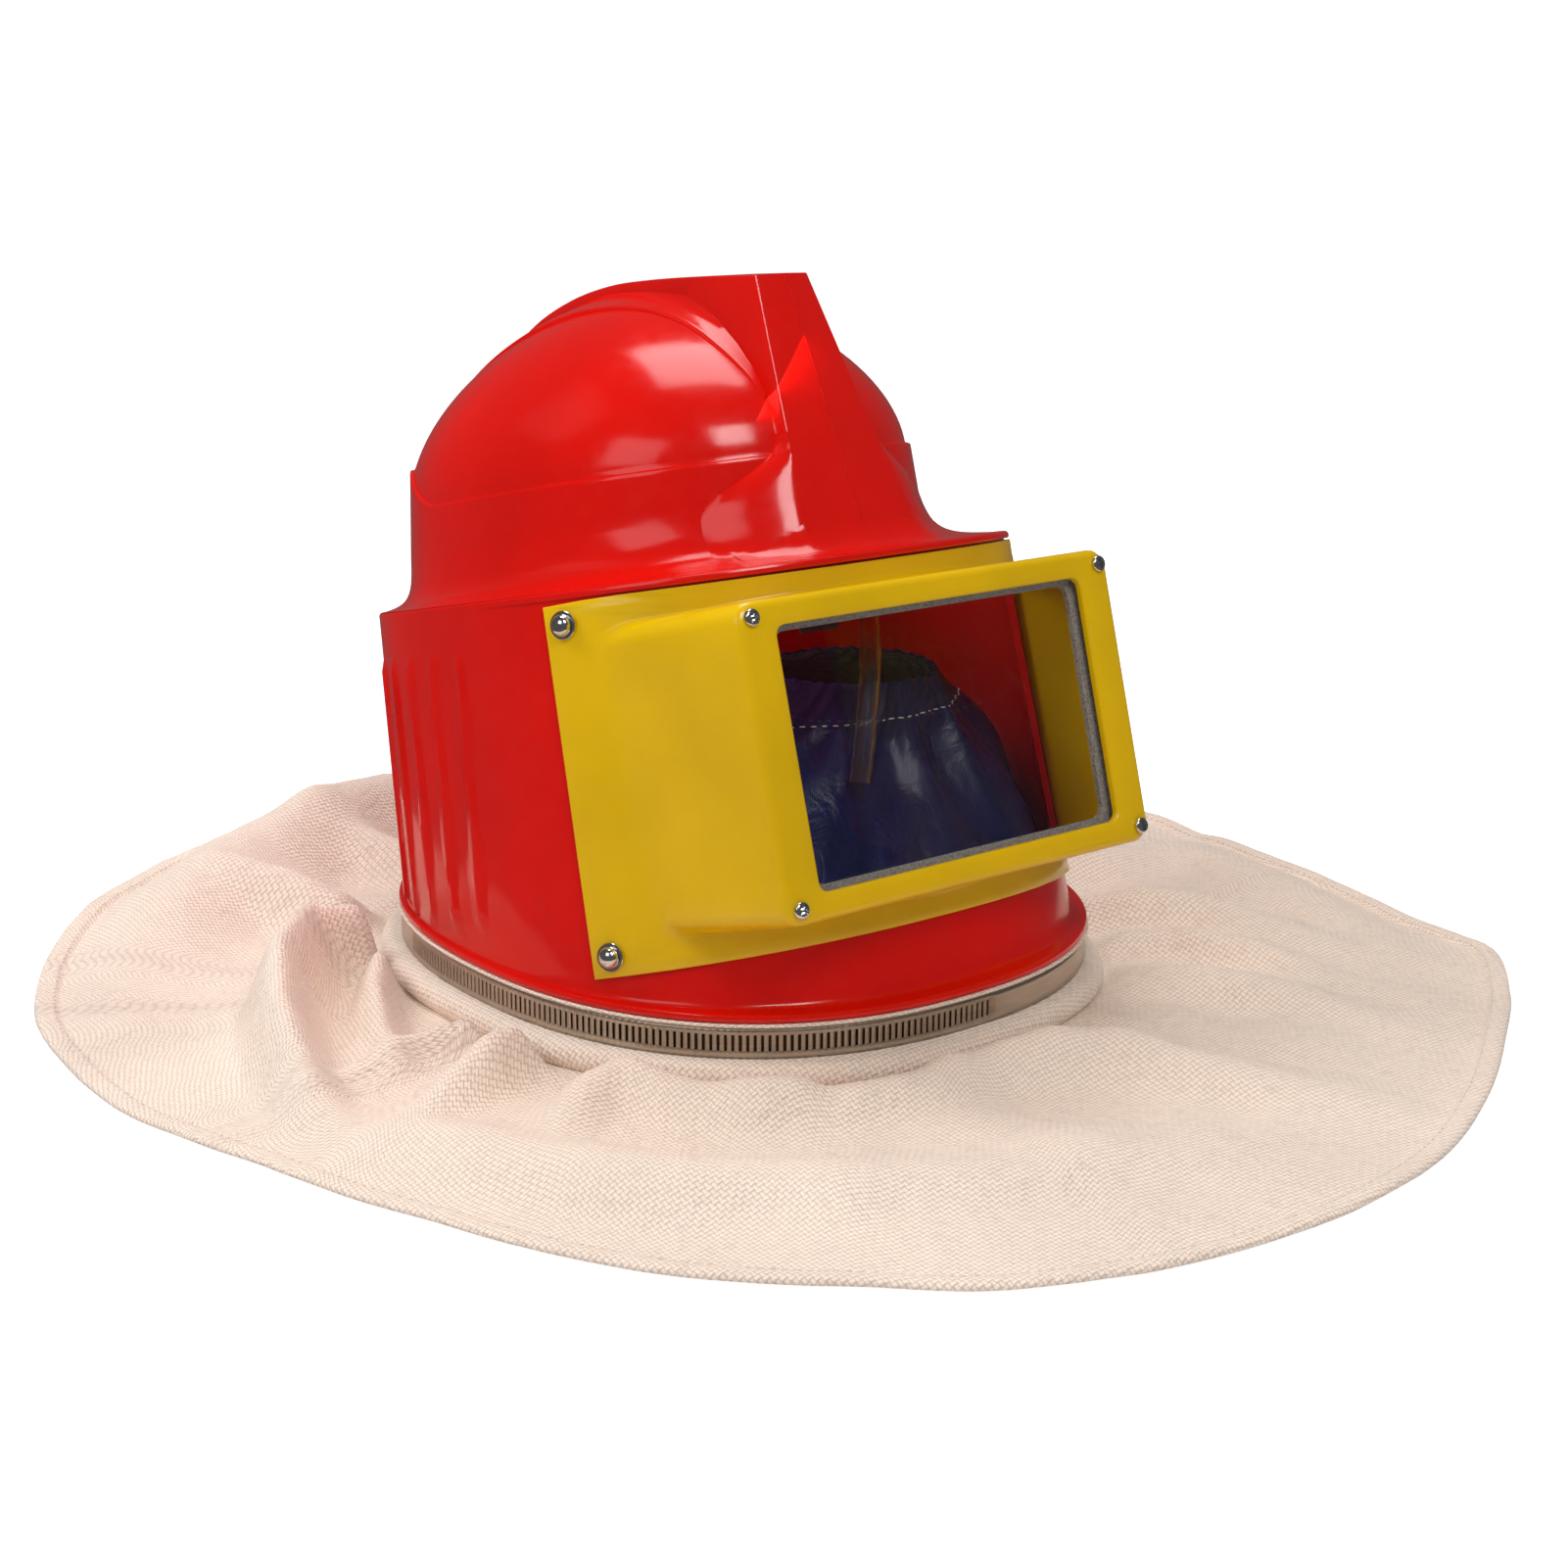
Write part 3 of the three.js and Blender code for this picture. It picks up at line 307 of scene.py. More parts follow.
def woven_canvas(rgb, pitch):
    """Undyed cotton canvas, plain weave: matt, with a visible grid of round threads. Its
    coarse yarns lie in pairs."""
    material, tree = new_material(
        "Canvas cotton plain weave", Roughness=0.92, Sheen_Weight=0.25, Sheen_Roughness=0.5,
        Specular_IOR_Level=0.2,
    )
    flat = cloth_place(tree)
    # The cloth was pulled a little off its grain when it was cut
    waver = add_node(tree, "ShaderNodeTexNoise", {"Vector": flat, "Scale": 9, "Detail": 1})
    pull = add_node(tree, "ShaderNodeVectorMath", {
        0: waver.outputs["Color"], "Scale": 0.005,
    }, operation="SCALE")
    thread_place = add_node(tree, "ShaderNodeVectorMath", {
        0: flat, 1: pull.outputs["Vector"],
    }, operation="ADD").outputs["Vector"]
    axes = add_node(tree, "ShaderNodeSeparateXYZ", {"Vector": thread_place})
    crowns = []
    for axis in ("X", "Y"):
        phase = worked(tree, "MULTIPLY", axes.outputs[axis], math.pi / pitch)
        crowns.append(worked(tree, "ABSOLUTE", worked(tree, "SINE", phase)))
    over = add_node(tree, "ShaderNodeTexChecker", {
        "Vector": thread_place, "Scale": 1 / pitch,
    }).outputs["Fac"]
    threads = add_node(tree, "ShaderNodeMix", {
        "Factor": over, "A": crowns[0], "B": crowns[1],
    }, data_type="FLOAT").outputs["Result"]
    # Slubs: thicker stretches of thread
    slub = cloud(tree, flat, 170, 4)
    relief = worked(tree, "MULTIPLY", threads, slub)
    # Creases where the cape was folded for packing
    crease = cloud(tree, flat, 14, 5, Roughness=0.62, Distortion=0.5)
    patch = cloud(tree, flat, 7, 4)
    cotton = tinted(tree, patch, shaded(rgb, 0.965), shaded(rgb, 1.015))
    # Painted shade: the valleys between the threads are coloured darker than their crowns
    shade = graded(tree, relief, 0.7, 1.05, 0.0, 0.45)
    cloth = add_node(tree, "ShaderNodeMix", {
        "Factor": 1.0, 6: cotton, 7: shade,
    }, data_type="RGBA", blend_type="MULTIPLY").outputs[2]
    weave = pressed(tree, relief, 0.75, 0.001)
    wire(tree, Base_Color=cloth, Normal=pressed(tree, crease, 0.6, 0.01, Normal=weave))
    return material


def woven_nylon(name, rgb):
    """Thin nylon taffeta: tight weave with a soft sheen along its gathers."""
    material, tree = new_material(name, IOR=1.53, Roughness=0.36, Specular_IOR_Level=0.32)
    flat = cloth_place(tree)
    # Threads of 0.25 mm are drawn at 1.6 mm, so that they show
    ribs = bands(tree, flat, 198.41, 0.4, "X")
    crush = cloud(tree, flat, 38, 4, Distortion=0.8)
    weave = pressed(tree, ribs, 0.12, 0.0003)
    wire(
        tree, Base_Color=tinted(tree, crush, shaded(rgb, 0.9), shaded(rgb, 1.1)),
        Normal=pressed(tree, crush, 0.5, 0.004, Normal=weave),
    )
    return material


def rolled_steel():
    """Stainless strip, cold rolled: satin, with fine lines along its length."""
    material, tree = new_material("Stainless steel rolled strip", Metallic=1.0, Anisotropic=0.4)
    squeeze = add_node(tree, "ShaderNodeMapping", {
        "Vector": object_place(tree), "Scale": (1, 1, 60),
    })
    lines = cloud(tree, squeeze.outputs["Vector"], 60, 4)
    wire(
        tree, Base_Color=tinted(tree, lines, colour("#a99c8c"), colour("#cfc4b6"), 0.2, 0.8),
        Roughness=graded(tree, lines, 0.26, 0.42), Normal=pressed(tree, lines, 0.08, 0.0003),
    )
    return material


def plated_steel():
    """Zinc-plated and polished screws: bright, with a few dull specks."""
    material, tree = new_material("Steel bright plated", Metallic=1.0)
    specks = cloud(tree, object_place(tree), 900, 3)
    wire(
        tree, Base_Color=tinted(tree, specks, colour("#e3e3e2"), colour("#cfcfce")),
        Roughness=graded(tree, specks, 0.1, 0.24, 0.4, 0.8),
    )
    return material


def clear_plastic(name, tint, roughness, presence):
    """Clear acrylic sheet or PVC tube: see-through, with sharp reflections. Its presence is
    the share of it that bends light; the rest lets the light straight in."""
    material, tree = new_material(
        name, IOR=1.49, Transmission_Weight=1.0, Roughness=roughness, Alpha=presence,
    )
    smear = cloud(tree, object_place(tree), 30, 3)
    wire(tree, Base_Color=tinted(tree, smear, colour(tint), colour("#ffffff")))
    return material


def sponge_rubber():
    """Grey sealing strip: matt, with fine open pores."""
    material, tree = new_material("Rubber sponge strip", Roughness=0.75)
    pores = add_node(tree, "ShaderNodeTexVoronoi", {
        "Vector": object_place(tree), "Scale": 900,
    }).outputs["Distance"]
    wire(
        tree, Base_Color=tinted(tree, pores, colour("#5f5a55"), colour("#98928b"), 0.1, 0.6),
        Normal=pressed(tree, pores, 0.3, 0.0003),
    )
    return material


def webbing_weave():
    """Black polypropylene webbing with ribs across it."""
    material, tree = new_material(
        "Polypropylene webbing woven", Roughness=0.7, Sheen_Weight=0.3,
    )
    ribs = bands(tree, object_place(tree), 72.15, 0.2, "Z")
    wire(
        tree, Base_Color=tinted(tree, ribs, colour("#0c0c0e"), colour("#26262b"), 0.2, 0.8),
        Normal=pressed(tree, ribs, 0.6, 0.0006),
    )
    return material


def sewing_thread(name, tint):
    """Twisted polyester thread."""
    material, tree = new_material(name, Roughness=0.6, Sheen_Weight=0.3)
    twist = bands(tree, object_place(tree), 400, 0.5, "DIAGONAL")
    wire(tree, Base_Color=tinted(tree, twist, shaded(tint, 0.85), colour(tint)))
    return material


def paint(node, material):
    """Gives a CAD node a finished material."""
    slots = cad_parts[node].data.materials
    slots.clear()
    slots.append(material)


# Shaping


def oval_point(oval, angle):
    """Point on a rounded oval. The angle runs from +X through the back."""
    power = 2 / oval.get("roundness", ROUNDNESS)
    c, s = math.cos(angle), math.sin(angle)
    reach = oval["front"] if s < 0 else oval["back"]
    return (
        oval["half_width"] * math.copysign(abs(c) ** power, c),
        reach * math.copysign(abs(s) ** power, s) + oval.get("shift", 0),
    )


def oval_towards(oval, angle):
    """Point on a rounded oval in a true direction from its centre."""
    c, s = math.cos(angle), math.sin(angle)
    n = oval.get("roundness", ROUNDNESS)
    reach = oval["front"] if s < 0 else oval["back"]
    radius = (abs(c / oval["half_width"]) ** n + abs(s / reach) ** n) ** (-1 / n)
    return radius * c, radius * s


def grown(oval, by):
    """The oval, larger all round."""
    return {**oval, **{side: oval[side] + by for side in ("half_width", "front", "back")}}


def between(a, b, share):
    """An oval part of the way from one to another."""
    both = {"roundness": ROUNDNESS, "shift": 0}
    a, b = {**both, **a}, {**both, **b}
    return {key: a[key] + (b[key] - a[key]) * share for key in a}


BAND = grown(RIM, -BAND_INSET)
CAPE_COLLAR = grown(BAND, -BAND_THICKNESS - LAYER_GAP)
COLLAR = grown(CAPE_COLLAR, -CANVAS - LAYER_GAP)


def smooth(value, low, high):
    """0 below low, 1 above high, and an even ease between them."""
    share = min(1, max(0, (value - low) / (high - low)))
    return share * share * (3 - 2 * share)


def mix(a, b, share):
    """The value part of the way from a to b."""
    return a + (b - a) * share


def through(rows, share):
    """A smooth curve through evenly spaced rows of numbers, from 0 at the first to 1."""
    at = min(max(share, 0), 1) * (len(rows) - 1)
    i = min(int(at), len(rows) - 2)
    t = at - i
    pick = [rows[min(max(i + step, 0), len(rows) - 1)] for step in (-1, 0, 1, 2)]
    return [
        b + 0.5 * t * (c - a + t * (2 * a - 5 * b + 4 * c - d + t * (3 * (b - c) + d - a)))
        for a, b, c, d in zip(*pick)
    ]


def round_table(rows, angle):
    """Smooth value of (angle, value) rows that go once round, at an angle in degrees."""
    turn = angle % 360
    count = len(rows)
    after = next((i for i, row in enumerate(rows) if row[0] > turn), count)
    picked = [rows[(after + step) % count] for step in (-2, -1, 0, 1)]
    span = (picked[2][0] - picked[1][0]) % 360 or 360
    t = ((turn - picked[1][0]) % 360) / span
    a, b, c, d = (row[1] for row in picked)
    return b + 0.5 * t * (c - a + t * (2 * a - 5 * b + 4 * c - d + t * (3 * (b - c) + d - a)))


def first_ring(bm, points):
    """A closed ring of verts at these points, and the layer that numbers them."""
    station = bm.verts.layers.int.new("station")
    made = bmesh.ops.create_circle(bm, segments=len(points), radius=1)["verts"]
    for i, vert in enumerate(made):
        vert[station] = i
        vert.co = points[i]
    return set(made), station


def next_ring(bm, ring, station, points):
    """Extrudes a ring to new points. Gives the new ring and all that was made."""
    edges = {e for v in ring for e in v.link_edges if e.other_vert(v) in ring}
    parts = bmesh.ops.extrude_edge_only(bm, edges=list(edges))["geom"]
    made = {part for part in parts if isinstance(part, bmesh.types.BMVert)}
    for vert in made:
        vert.co = points[vert[station]]
    return made, parts


def cleaned(bm):
    """The same bmesh, with its doubles merged and its faces turned outwards."""
    bmesh.ops.remove_doubles(bm, verts=bm.verts, dist=MERGE)
    bmesh.ops.recalc_face_normals(bm, faces=bm.faces)
    return bm


def loft(rings, close=False, caps=True):
    """A mesh through rings of points: the first ring is a circle's verts, and each next one
    is extruded from it. A closed loft ends where it began, and an open one can be capped."""
    bm = bmesh.new()
    ring, station = first_ring(bm, rings[0])
    for points in rings[1:] + (rings[:1] if close else []):
        ring, _ = next_ring(bm, ring, station, points)
    if caps and not close:
        bmesh.ops.holes_fill(bm, edges=[e for e in bm.edges if e.is_boundary], sides=0)
    return cleaned(bm)


def moved(bm, place):
    """The same bmesh, moved by a matrix."""
    bmesh.ops.transform(bm, matrix=place, verts=bm.verts)
    return bm


def bevel(bm, edges, offset, segments):
    """Rounds these edges."""
    bmesh.ops.bevel(
        bm, geom=edges, offset=offset, offset_type="OFFSET", segments=segments, profile=0.5,
        affect="EDGES", material=-1,
    )


def new_mesh(name, bm):
    """A mesh of a bmesh, which is freed."""
    mesh = bpy.data.meshes.new(name)
    bm.to_mesh(mesh)
    bm.free()
    return mesh


def new_object(name, data):
    """An object of this data at the origin of the scene."""
    made = bpy.data.objects.new(name, data)
    bpy.context.scene.collection.objects.link(made)
    return made


def finish_piece(name, bm, material, sharp=35, replaces=()):
    """Turns a bmesh in rim millimetres into a finished piece in the row frame."""
    mesh = new_mesh(name, moved(bm, TO_ROW))
    mesh.materials.append(material)
    mesh.shade_smooth()
    mesh.set_sharp_from_angle(angle=math.radians(sharp))
    piece = new_object(name, mesh)
    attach(piece, "root")
    if replaces:
        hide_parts(*replaces)
    return piece


def tool_of(bm):
    """A passing object that holds a cutting or joining shape."""
    return new_object("tool", new_mesh("tool", bm))


def combined(base, steps):
    """A bmesh of the base after each (operation, bmesh) step."""
    body = tool_of(base)
    tools = []
    for operation, shape in steps:
        tool = tool_of(shape)
        tools.append(tool)
        cut = body.modifiers.new(operation, "BOOLEAN")
        cut.operation = operation
        cut.solver = "MANIFOLD"
        cut.object = tool
    bpy.context.view_layer.update()
    result = body.evaluated_get(bpy.context.evaluated_depsgraph_get()).to_mesh()
    bm = bmesh.new()
    bm.from_mesh(result)
    body.to_mesh_clear()
    for spare in [body, *tools]:
        mesh = spare.data
        bpy.data.objects.remove(spare)
        bpy.data.meshes.remove(mesh)
    return bm


# Shell


def ring_points(oval, height, place, sides):
    """Points of a level oval, or of one that is tilted with a frame."""
    points = []
    for i in range(sides):
        point = Vector((*oval_point(oval, TURN * i / sides), height))
        points.append(place @ point if place else point)
    return points


RIB_BACKS = (-12, 12, 36, 60, 84)
RIB_HALF_WIDTH = 4.2
RIB_PROUD = 1.9
RIB_TOP = -21
RIB_FOOT = -142


def rib_swell(point):
    """How far the wall is pressed out at a point, where the ribs are."""
    local = TO_CROWN @ point
    if abs(local.x) < 100:
        return 0
    foot = smooth(local.z, RIB_FOOT - 4, RIB_FOOT + 5)
    top = 1 - smooth(local.z, RIB_TOP - 4, RIB_TOP + 3)
    nearest = min(abs(local.y - back) for back in RIB_BACKS)
    return RIB_PROUD * foot * top * (1 - smooth(nearest, RIB_HALF_WIDTH * 0.5, RIB_HALF_WIDTH))


def wall_ring(share, growth, sides, ribs=False):
    """A ring on the lower shell, from its foot (0) to its shoulder (1)."""
    low = ring_points(grown(FOOT, growth), RIM_HEIGHT + RIM_LIP, None, sides)
    high = ring_points(grown(SHOULDER, growth), 0, CROWN, sides)
    points = [a.lerp(b, share) for a, b in zip(low, high)]
    if ribs:
        for point in points:
            out = Vector((math.copysign(1, point.x), 0, 0))
            point += out * rib_swell(point)
    return points


def band_edge(angle):
    """The band's top edge steps up towards the rear."""
    return BAND_REAR_RISE * smooth(math.sin(angle), 0.15, 0.6)


def dome_ring(share, growth, sides, drop=0):
    """A ring on the dome, from the band's edge (0) to the top (1)."""
    points = []
    power = 2 / DOME_FULLNESS
    oval = {**grown(DOME, growth), "shift": 0}
    for i in range(sides):
        angle = TURN * i / sides
        start = math.asin((band_edge(angle) / DOME_RISE) ** (1 / power))
        lift = mix(start, math.pi / 2, share)
        x, y = oval_point(oval, angle)
        across = max(0, math.cos(lift)) ** power
        rise = (DOME_RISE + growth) * math.sin(lift) ** power
        place = (x * across, y * across + DOME["shift"], BAND_STEP + rise - drop)
        points.append(CROWN @ Vector(place))
    return points


DOME_RISE = 88


def dome_height(x, y):
    """Height of the dome over a place in the crown's frame."""
    across = (x / DOME["half_width"]) ** 2 + ((y - DOME["shift"]) / DOME["front"]) ** 2
    rise = max(0, 1 - across ** (DOME_FULLNESS / 2)) ** (1 / DOME_FULLNESS)
    return BAND_STEP + DOME_RISE * rise


# Flare from the brim up to the band: how far out of the band's foot, and how far up
FLARE = [(0.97, 0.0), (0.84, 0.008), (0.7, 0.03), (0.54, 0.065), (0.39, 0.12), (0.25, 0.22),
         (0.13, 0.4), (0.05, 0.68), (0.0, 1.0)]


def flare_rings(sides, growth=0, steps=20):
    """Rings of the flare, for the outer face or the hollow under it."""
    foot = grown(DOME, BAND_PROUD + 1)
    rings = []
    for i in range(steps + 1):
        out, up = through(FLARE, i / steps)
        height = BRIM_LIP + FLARE_HEIGHT * up + growth * (1 - up)
        rings.append(ring_points(grown(between(foot, BRIM, out), growth), height, CROWN, sides))
    return rings


def shell_outside(sides):
    """The shell's outer face, from the bottom of the collar to the top of the dome."""
    def level(oval, height):
        return ring_points(oval, height, None, sides)

    def crown(oval, height):
        return ring_points(oval, height, CROWN, sides)

    top = RIM_HEIGHT + RIM_LIP
    rings = [level(COLLAR, RIM_HEIGHT - COLLAR_DEPTH), level(COLLAR, RIM_HEIGHT)]
    rings += [level(grown(RIM, by), RIM_HEIGHT + up) for by, up in (
        (-0.9, 0), (-0.25, 0.25), (0, 0.9), (0, 1.9), (-0.25, 2.8), (-0.9, 3.35), (-1.8, 3.5),
    )]
    rings += [level(between(RIM, FOOT, share), top + up) for share, up in (
        (0.7, 0.05), (0.85, 0.3), (0.95, 0.9),
    )]
    rings += [wall_ring(0.012 + 0.976 * i / 40, 0, sides, ribs=True) for i in range(41)]
    rings += [crown(SHOULDER, 0)]
    rings += [crown(between(SHOULDER, BRIM, 0.85), 0), crown(BRIM, 0.7)]
    rings += [crown(grown(BRIM, by), up) for by, up in ((0, 1.8), (-0.35, 2.7), (-1.2, 3.25))]
    rings += flare_rings(sides)
    rings += [
        [a.lerp(b, share) for a, b in zip(
            ring_points(grown(DOME, BAND_PROUD + 1), BRIM_LIP + FLARE_HEIGHT, CROWN, sides),
            dome_ring(0, BAND_PROUD, sides, drop=1.0),
        )] for share in (0.25, 0.5, 0.75, 0.93)
    ]
    rings += [dome_ring(0, growth, sides, drop) for growth, drop in (
        (BAND_PROUD, 1.2), (BAND_PROUD - 0.3, 0.5), (BAND_PROUD - 1.1, 0.1), (0.35, 0),
    )]
    rings += [dome_ring(0.012, 0, sides)]
    rings += [dome_ring(i / 34, 0, sides) for i in range(1, 35)]
    return loft(rings)


def shell_hollow(sides, depth):
    """The hollow inside the shell."""
    inside = grown(COLLAR, -depth)
    rings = [
        ring_points(inside, RIM_HEIGHT - COLLAR_DEPTH - 1, None, sides),
        ring_points(inside, RIM_HEIGHT, None, sides),
        ring_points(grown(FOOT, -depth), RIM_HEIGHT + RIM_LIP + depth, None, sides),
        ring_points(grown(SHOULDER, -depth), -depth, CROWN, sides),
    ]
    rings += flare_rings(sides, -depth, 8)[4:]
    rings += [dome_ring(i / 14, -depth, sides) for i in range(0, 15)]
    return loft(rings)


# Line of the crest from front to rear: distance back, top as a share of the crest's height
# and half width as a share of that of its front
CREST = [(0, 0.905, 1.0), (42, 0.948, 0.98), (84, 0.983, 0.95), (118, 1.0, 0.9),
         (154, 0.99, 0.82), (190, 0.945, 0.72), (222, 0.86, 0.6), (248, 0.735, 0.45),
         (257, 0.43, 0.4)]
CREST_TOP = 145.5
CREST_FRONT = -100
CREST_HALF_WIDTH = 15.3
CREST_FOOT_HALF_WIDTH = 33
CREST_FRONT_SLOPE = 0.28
CREST_NOSE = 2.5

# The crescent that the crest grows from: place from front to rear, where its fillet starts,
# and its outer edge
CRESCENT = [(-106, 23, 24.5), (-80, 25, 27), (-55, 24, 27), (-30, 21, 29), (-5, 18, 34),
            (20, 20, 40), (45, 28, 47), (70, 36, 54), (92, 40, 57), (112, 36, 50), (130, 26, 38)]
CRESCENT_PROUD = 2


def crest_face_half_width(height):
    """Half width of the crest's front face, which widens towards the brim."""
    top = CREST_TOP * CREST[0][1]
    return mix(CREST_FOOT_HALF_WIDTH, CREST_HALF_WIDTH, min(1, height / top))


def crest_face_y(height):
    """How far forward the sides of the crest's front face lie."""
    return CREST_FRONT - CREST_FRONT_SLOPE * (CREST_TOP * CREST[0][1] - height)


def crest(inset, steps):
    """The crest as a closed shape in rim millimetres."""
    sections = []
    rows = CREST[:-1] if inset else CREST
    for index, (back, up, width) in enumerate(rows):
        first = index == 0
        y = CREST_FRONT + back
        if first:
            y += inset
        elif index == len(rows) - 1:
            y -= inset
        wide = CREST_HALF_WIDTH * width - inset
        top = CREST_TOP * up - inset
        foot = 0 if first else dome_height(0, y) - 3 * WALL - inset
        nose = CREST_NOSE if first else 0
        slope = CREST_FRONT_SLOPE * (top - foot) if first else 0
        foot_wide = CREST_FOOT_HALF_WIDTH - inset if first else wide + 1
        sections.append([
            (0, y - nose - slope, foot), (-foot_wide, y - slope, foot), (-wide, y, top),
            (0, y - nose, top), (wide, y, top), (foot_wide, y - slope, foot),
        ])
    rings = []
    for i in range(steps + 1):
        rings.append([
            CROWN @ Vector(through([section[corner] for section in sections], i / steps))
            for corner in range(6)
        ])
    bm = loft(rings)
    front = min((f for f in bm.faces if len(f.verts) == 6), key=lambda f: f.calc_center_median().y)
    middle = sorted(front.verts, key=lambda vert: abs(vert.co.x))[:2]
    bmesh.ops.connect_verts(bm, verts=middle)
    if not inset:
        edges = [
            e for e in bm.edges
            if abs(e.verts[0].co.x) > 4 and abs(e.verts[1].co.x) > 4
            and e.calc_face_angle(0) > math.radians(35)
            and min(vert.co.z for vert in e.verts) > RIM_HEIGHT + 175
        ]
        bevel(bm, edges, 1.3, 2)
    return bm


def crescent(steps):
    """The raised crescent at the crest's foot, with its fillet up the crest's side."""
    crest_rows = [(CREST_FRONT + back, up, width) for back, up, width in CREST]
    rings = []
    for i in range(steps + 1):
        y, neck, wide = through(CRESCENT, i / steps)
        near = max(j for j, row in enumerate(crest_rows) if row[0] <= max(y, CREST_FRONT))
        low = crest_rows[min(near, len(crest_rows) - 2)]
        high = crest_rows[min(near, len(crest_rows) - 2) + 1]
        share = min(1, max(0, (y - low[0]) / (high[0] - low[0])))
        wall = CREST_HALF_WIDTH * mix(low[2], high[2], share) - 1
        top = CREST_TOP * mix(low[1], high[1], share)
        middle = dome_height(0, y)
        climb = mix(min(13, 0.75 * (top - middle)), 3, 1 - smooth(y, CREST_FRONT - 6, -60))
        # It sinks into the dome at its rear end
        sunk = smooth(y, 85, 129)
        proud = CRESCENT_PROUD - 3.4 * sunk
        shelf = dome_height(neck, y) + proud + 0.4
        bend = dome_height(wall, y) + mix(3, -2, sunk)
        rise = dome_height(wall, y) + mix(climb, -2, sunk)
        half = [(x, dome_height(x, y) + lift) for x, lift in (
            (wide, -3), (wide, 0.45 * proud), (wide - 0.8, proud),
            (mix(wide, neck, 0.5), proud + 0.3),
        )]
        for t in (0, 0.25, 0.5, 0.75, 1):
            x = mix(mix(neck, wall + 1, t), mix(wall + 1, wall, t), t)
            z = mix(mix(shelf, bend, t), mix(bend, rise, t), t)
            half.append((x, z))
        deep = dome_height(wide, y) - 6
        ring = [(0, y, deep)] + [(-x, y, z) for x, z in half]
        ring += [(x, y, z) for x, z in reversed(half)]
        rings.append([CROWN @ Vector(place) for place in ring])
    return loft(rings)


def crown_front(height, x):
    """How far forward the crown's plain surface lies at a height, off its middle."""
    if height >= BAND_STEP:
        gone = ((height - BAND_STEP) / DOME_RISE) ** DOME_FULLNESS
        across = (1 - gone) ** (1 / DOME_FULLNESS)
        left = max(0, across ** 2 - (x / DOME["half_width"]) ** 2)
        return DOME["shift"] - DOME["front"] * math.sqrt(left)
    if height >= BRIM_LIP + FLARE_HEIGHT:
        oval = grown(DOME, BAND_PROUD + 0.5)
    else:
        up = (height - BRIM_LIP) / FLARE_HEIGHT
        share = seek(lambda t: through(FLARE, t)[1], up, 0, 1)
        oval = between(grown(DOME, BAND_PROUD + 1), BRIM, through(FLARE, share)[0])
    n = oval["roundness"]
    reach = (1 - abs(x / oval["half_width"]) ** n) ** (1 / n)
    return oval["shift"] - oval["front"] * reach


def fillet_line(height):
    """Section of the soft hollow beside the crest's face: corner, bend and end, as (x, y)."""
    wide = crest_face_half_width(height) - 0.2
    reach = 2 + 32 * (1 - smooth(height, 28, 57))
    start = crest_face_y(height) - 0.05
    end = crown_front(height, wide + reach)
    return (wide, start), (wide + 0.55 * reach, mix(start, end, 0.27)), (wide + reach, end)


def bent(points, share):
    """Point of the quadratic curve that leans towards the middle one of three points."""
    a, b, c = points
    return tuple(mix(mix(p, q, share), mix(q, r, share), share) for p, q, r in zip(a, b, c))


def crest_fillet(side):
    """The soft hollow between the crest's front face and the crown beside it."""
    rings = []
    for height in (4.2, 5, 6, 7.5, 9, 11, 13.5, 16, 20, 25, 31, 36, 40, 44, 48, 52, 56, 60):
        line = fillet_line(height)
        rows = [(line[0][0] - 3, line[0][1] + 0.12), line[0]]
        for step in range(1, 9):
            x, y = bent(line, step / 8)
            rows.append((x, min(y, crown_front(height, x) + 0.05)))
        end = line[2]
        rows += [(end[0], end[1] + 5), (line[0][0] - 4, line[0][1] + 12),
                 (line[0][0] - 4, line[0][1] + 1)]
        rings.append([CROWN @ Vector((side * x, y, height)) for x, y in rows])
    return loft(rings)


def crest_side(height, x):
    """How far forward the crest's face lies, or the hollow beside it, at a height."""
    line = fillet_line(height)
    wide, far = line[0][0], line[2][0]
    if x <= wide:
        return line[0][1] - CREST_NOSE * (1 - x / wide)
    y = bent(line, seek(lambda t: bent(line, t)[0], min(x, far), 0, 1))[1]
    return max(y, crown_front(height, x)) if x > far else y


def crest_toe():
    """The soft hollow at the foot of the crest's front face, where it runs into the brim."""
    rings = []
    for step in range(-15, 16):
        x = 4 * step
        sunk = 0.3 + 7 * smooth(abs(x), 32, 60)
        start = crest_side(20, abs(x)) + sunk
        bend = crest_side(5.4, abs(x)) - 1 + sunk
        end = crown_front(3.7, x) + 0.7 + 0.6 * sunk
        rows = []
        for t in (0, 0.17, 0.34, 0.5, 0.66, 0.83, 1):
            rows.append(bent(((start, 20), (bend, 5.4), (end, 3.55)), t))
        rows += [(end + 3, 1.5), (start + 6, 3), (start + 8, 19)]
        rings.append([CROWN @ Vector((x, y, height)) for y, height in rows])
    return loft(rings)


def parting_line():
    """The fine line that the mould leaves down the nose of the crest."""
    rings = []
    for height in (9, 30, 60, 95, CREST_TOP * CREST[0][1] - 0.2):
        y = crest_face_y(height) - CREST_NOSE
        rings.append([
            CROWN @ Vector(place) for place in (
                (0.32, y + 1.5, height), (0.22, y - 0.28, height), (-0.22, y - 0.28, height),
                (-0.32, y + 1.5, height),
            )
        ])
    return loft(rings)


def block(low, high, place=None):
    """A plain block between two corners, for cutting."""
    bm = bmesh.new()
    bmesh.ops.create_cube(bm, size=1)
    low, high = Vector(low), Vector(high)
    moved(bm, Matrix.Translation((high + low) / 2) @ Matrix.Diagonal((*(high - low), 1)))
    return moved(bm, place) if place else bm


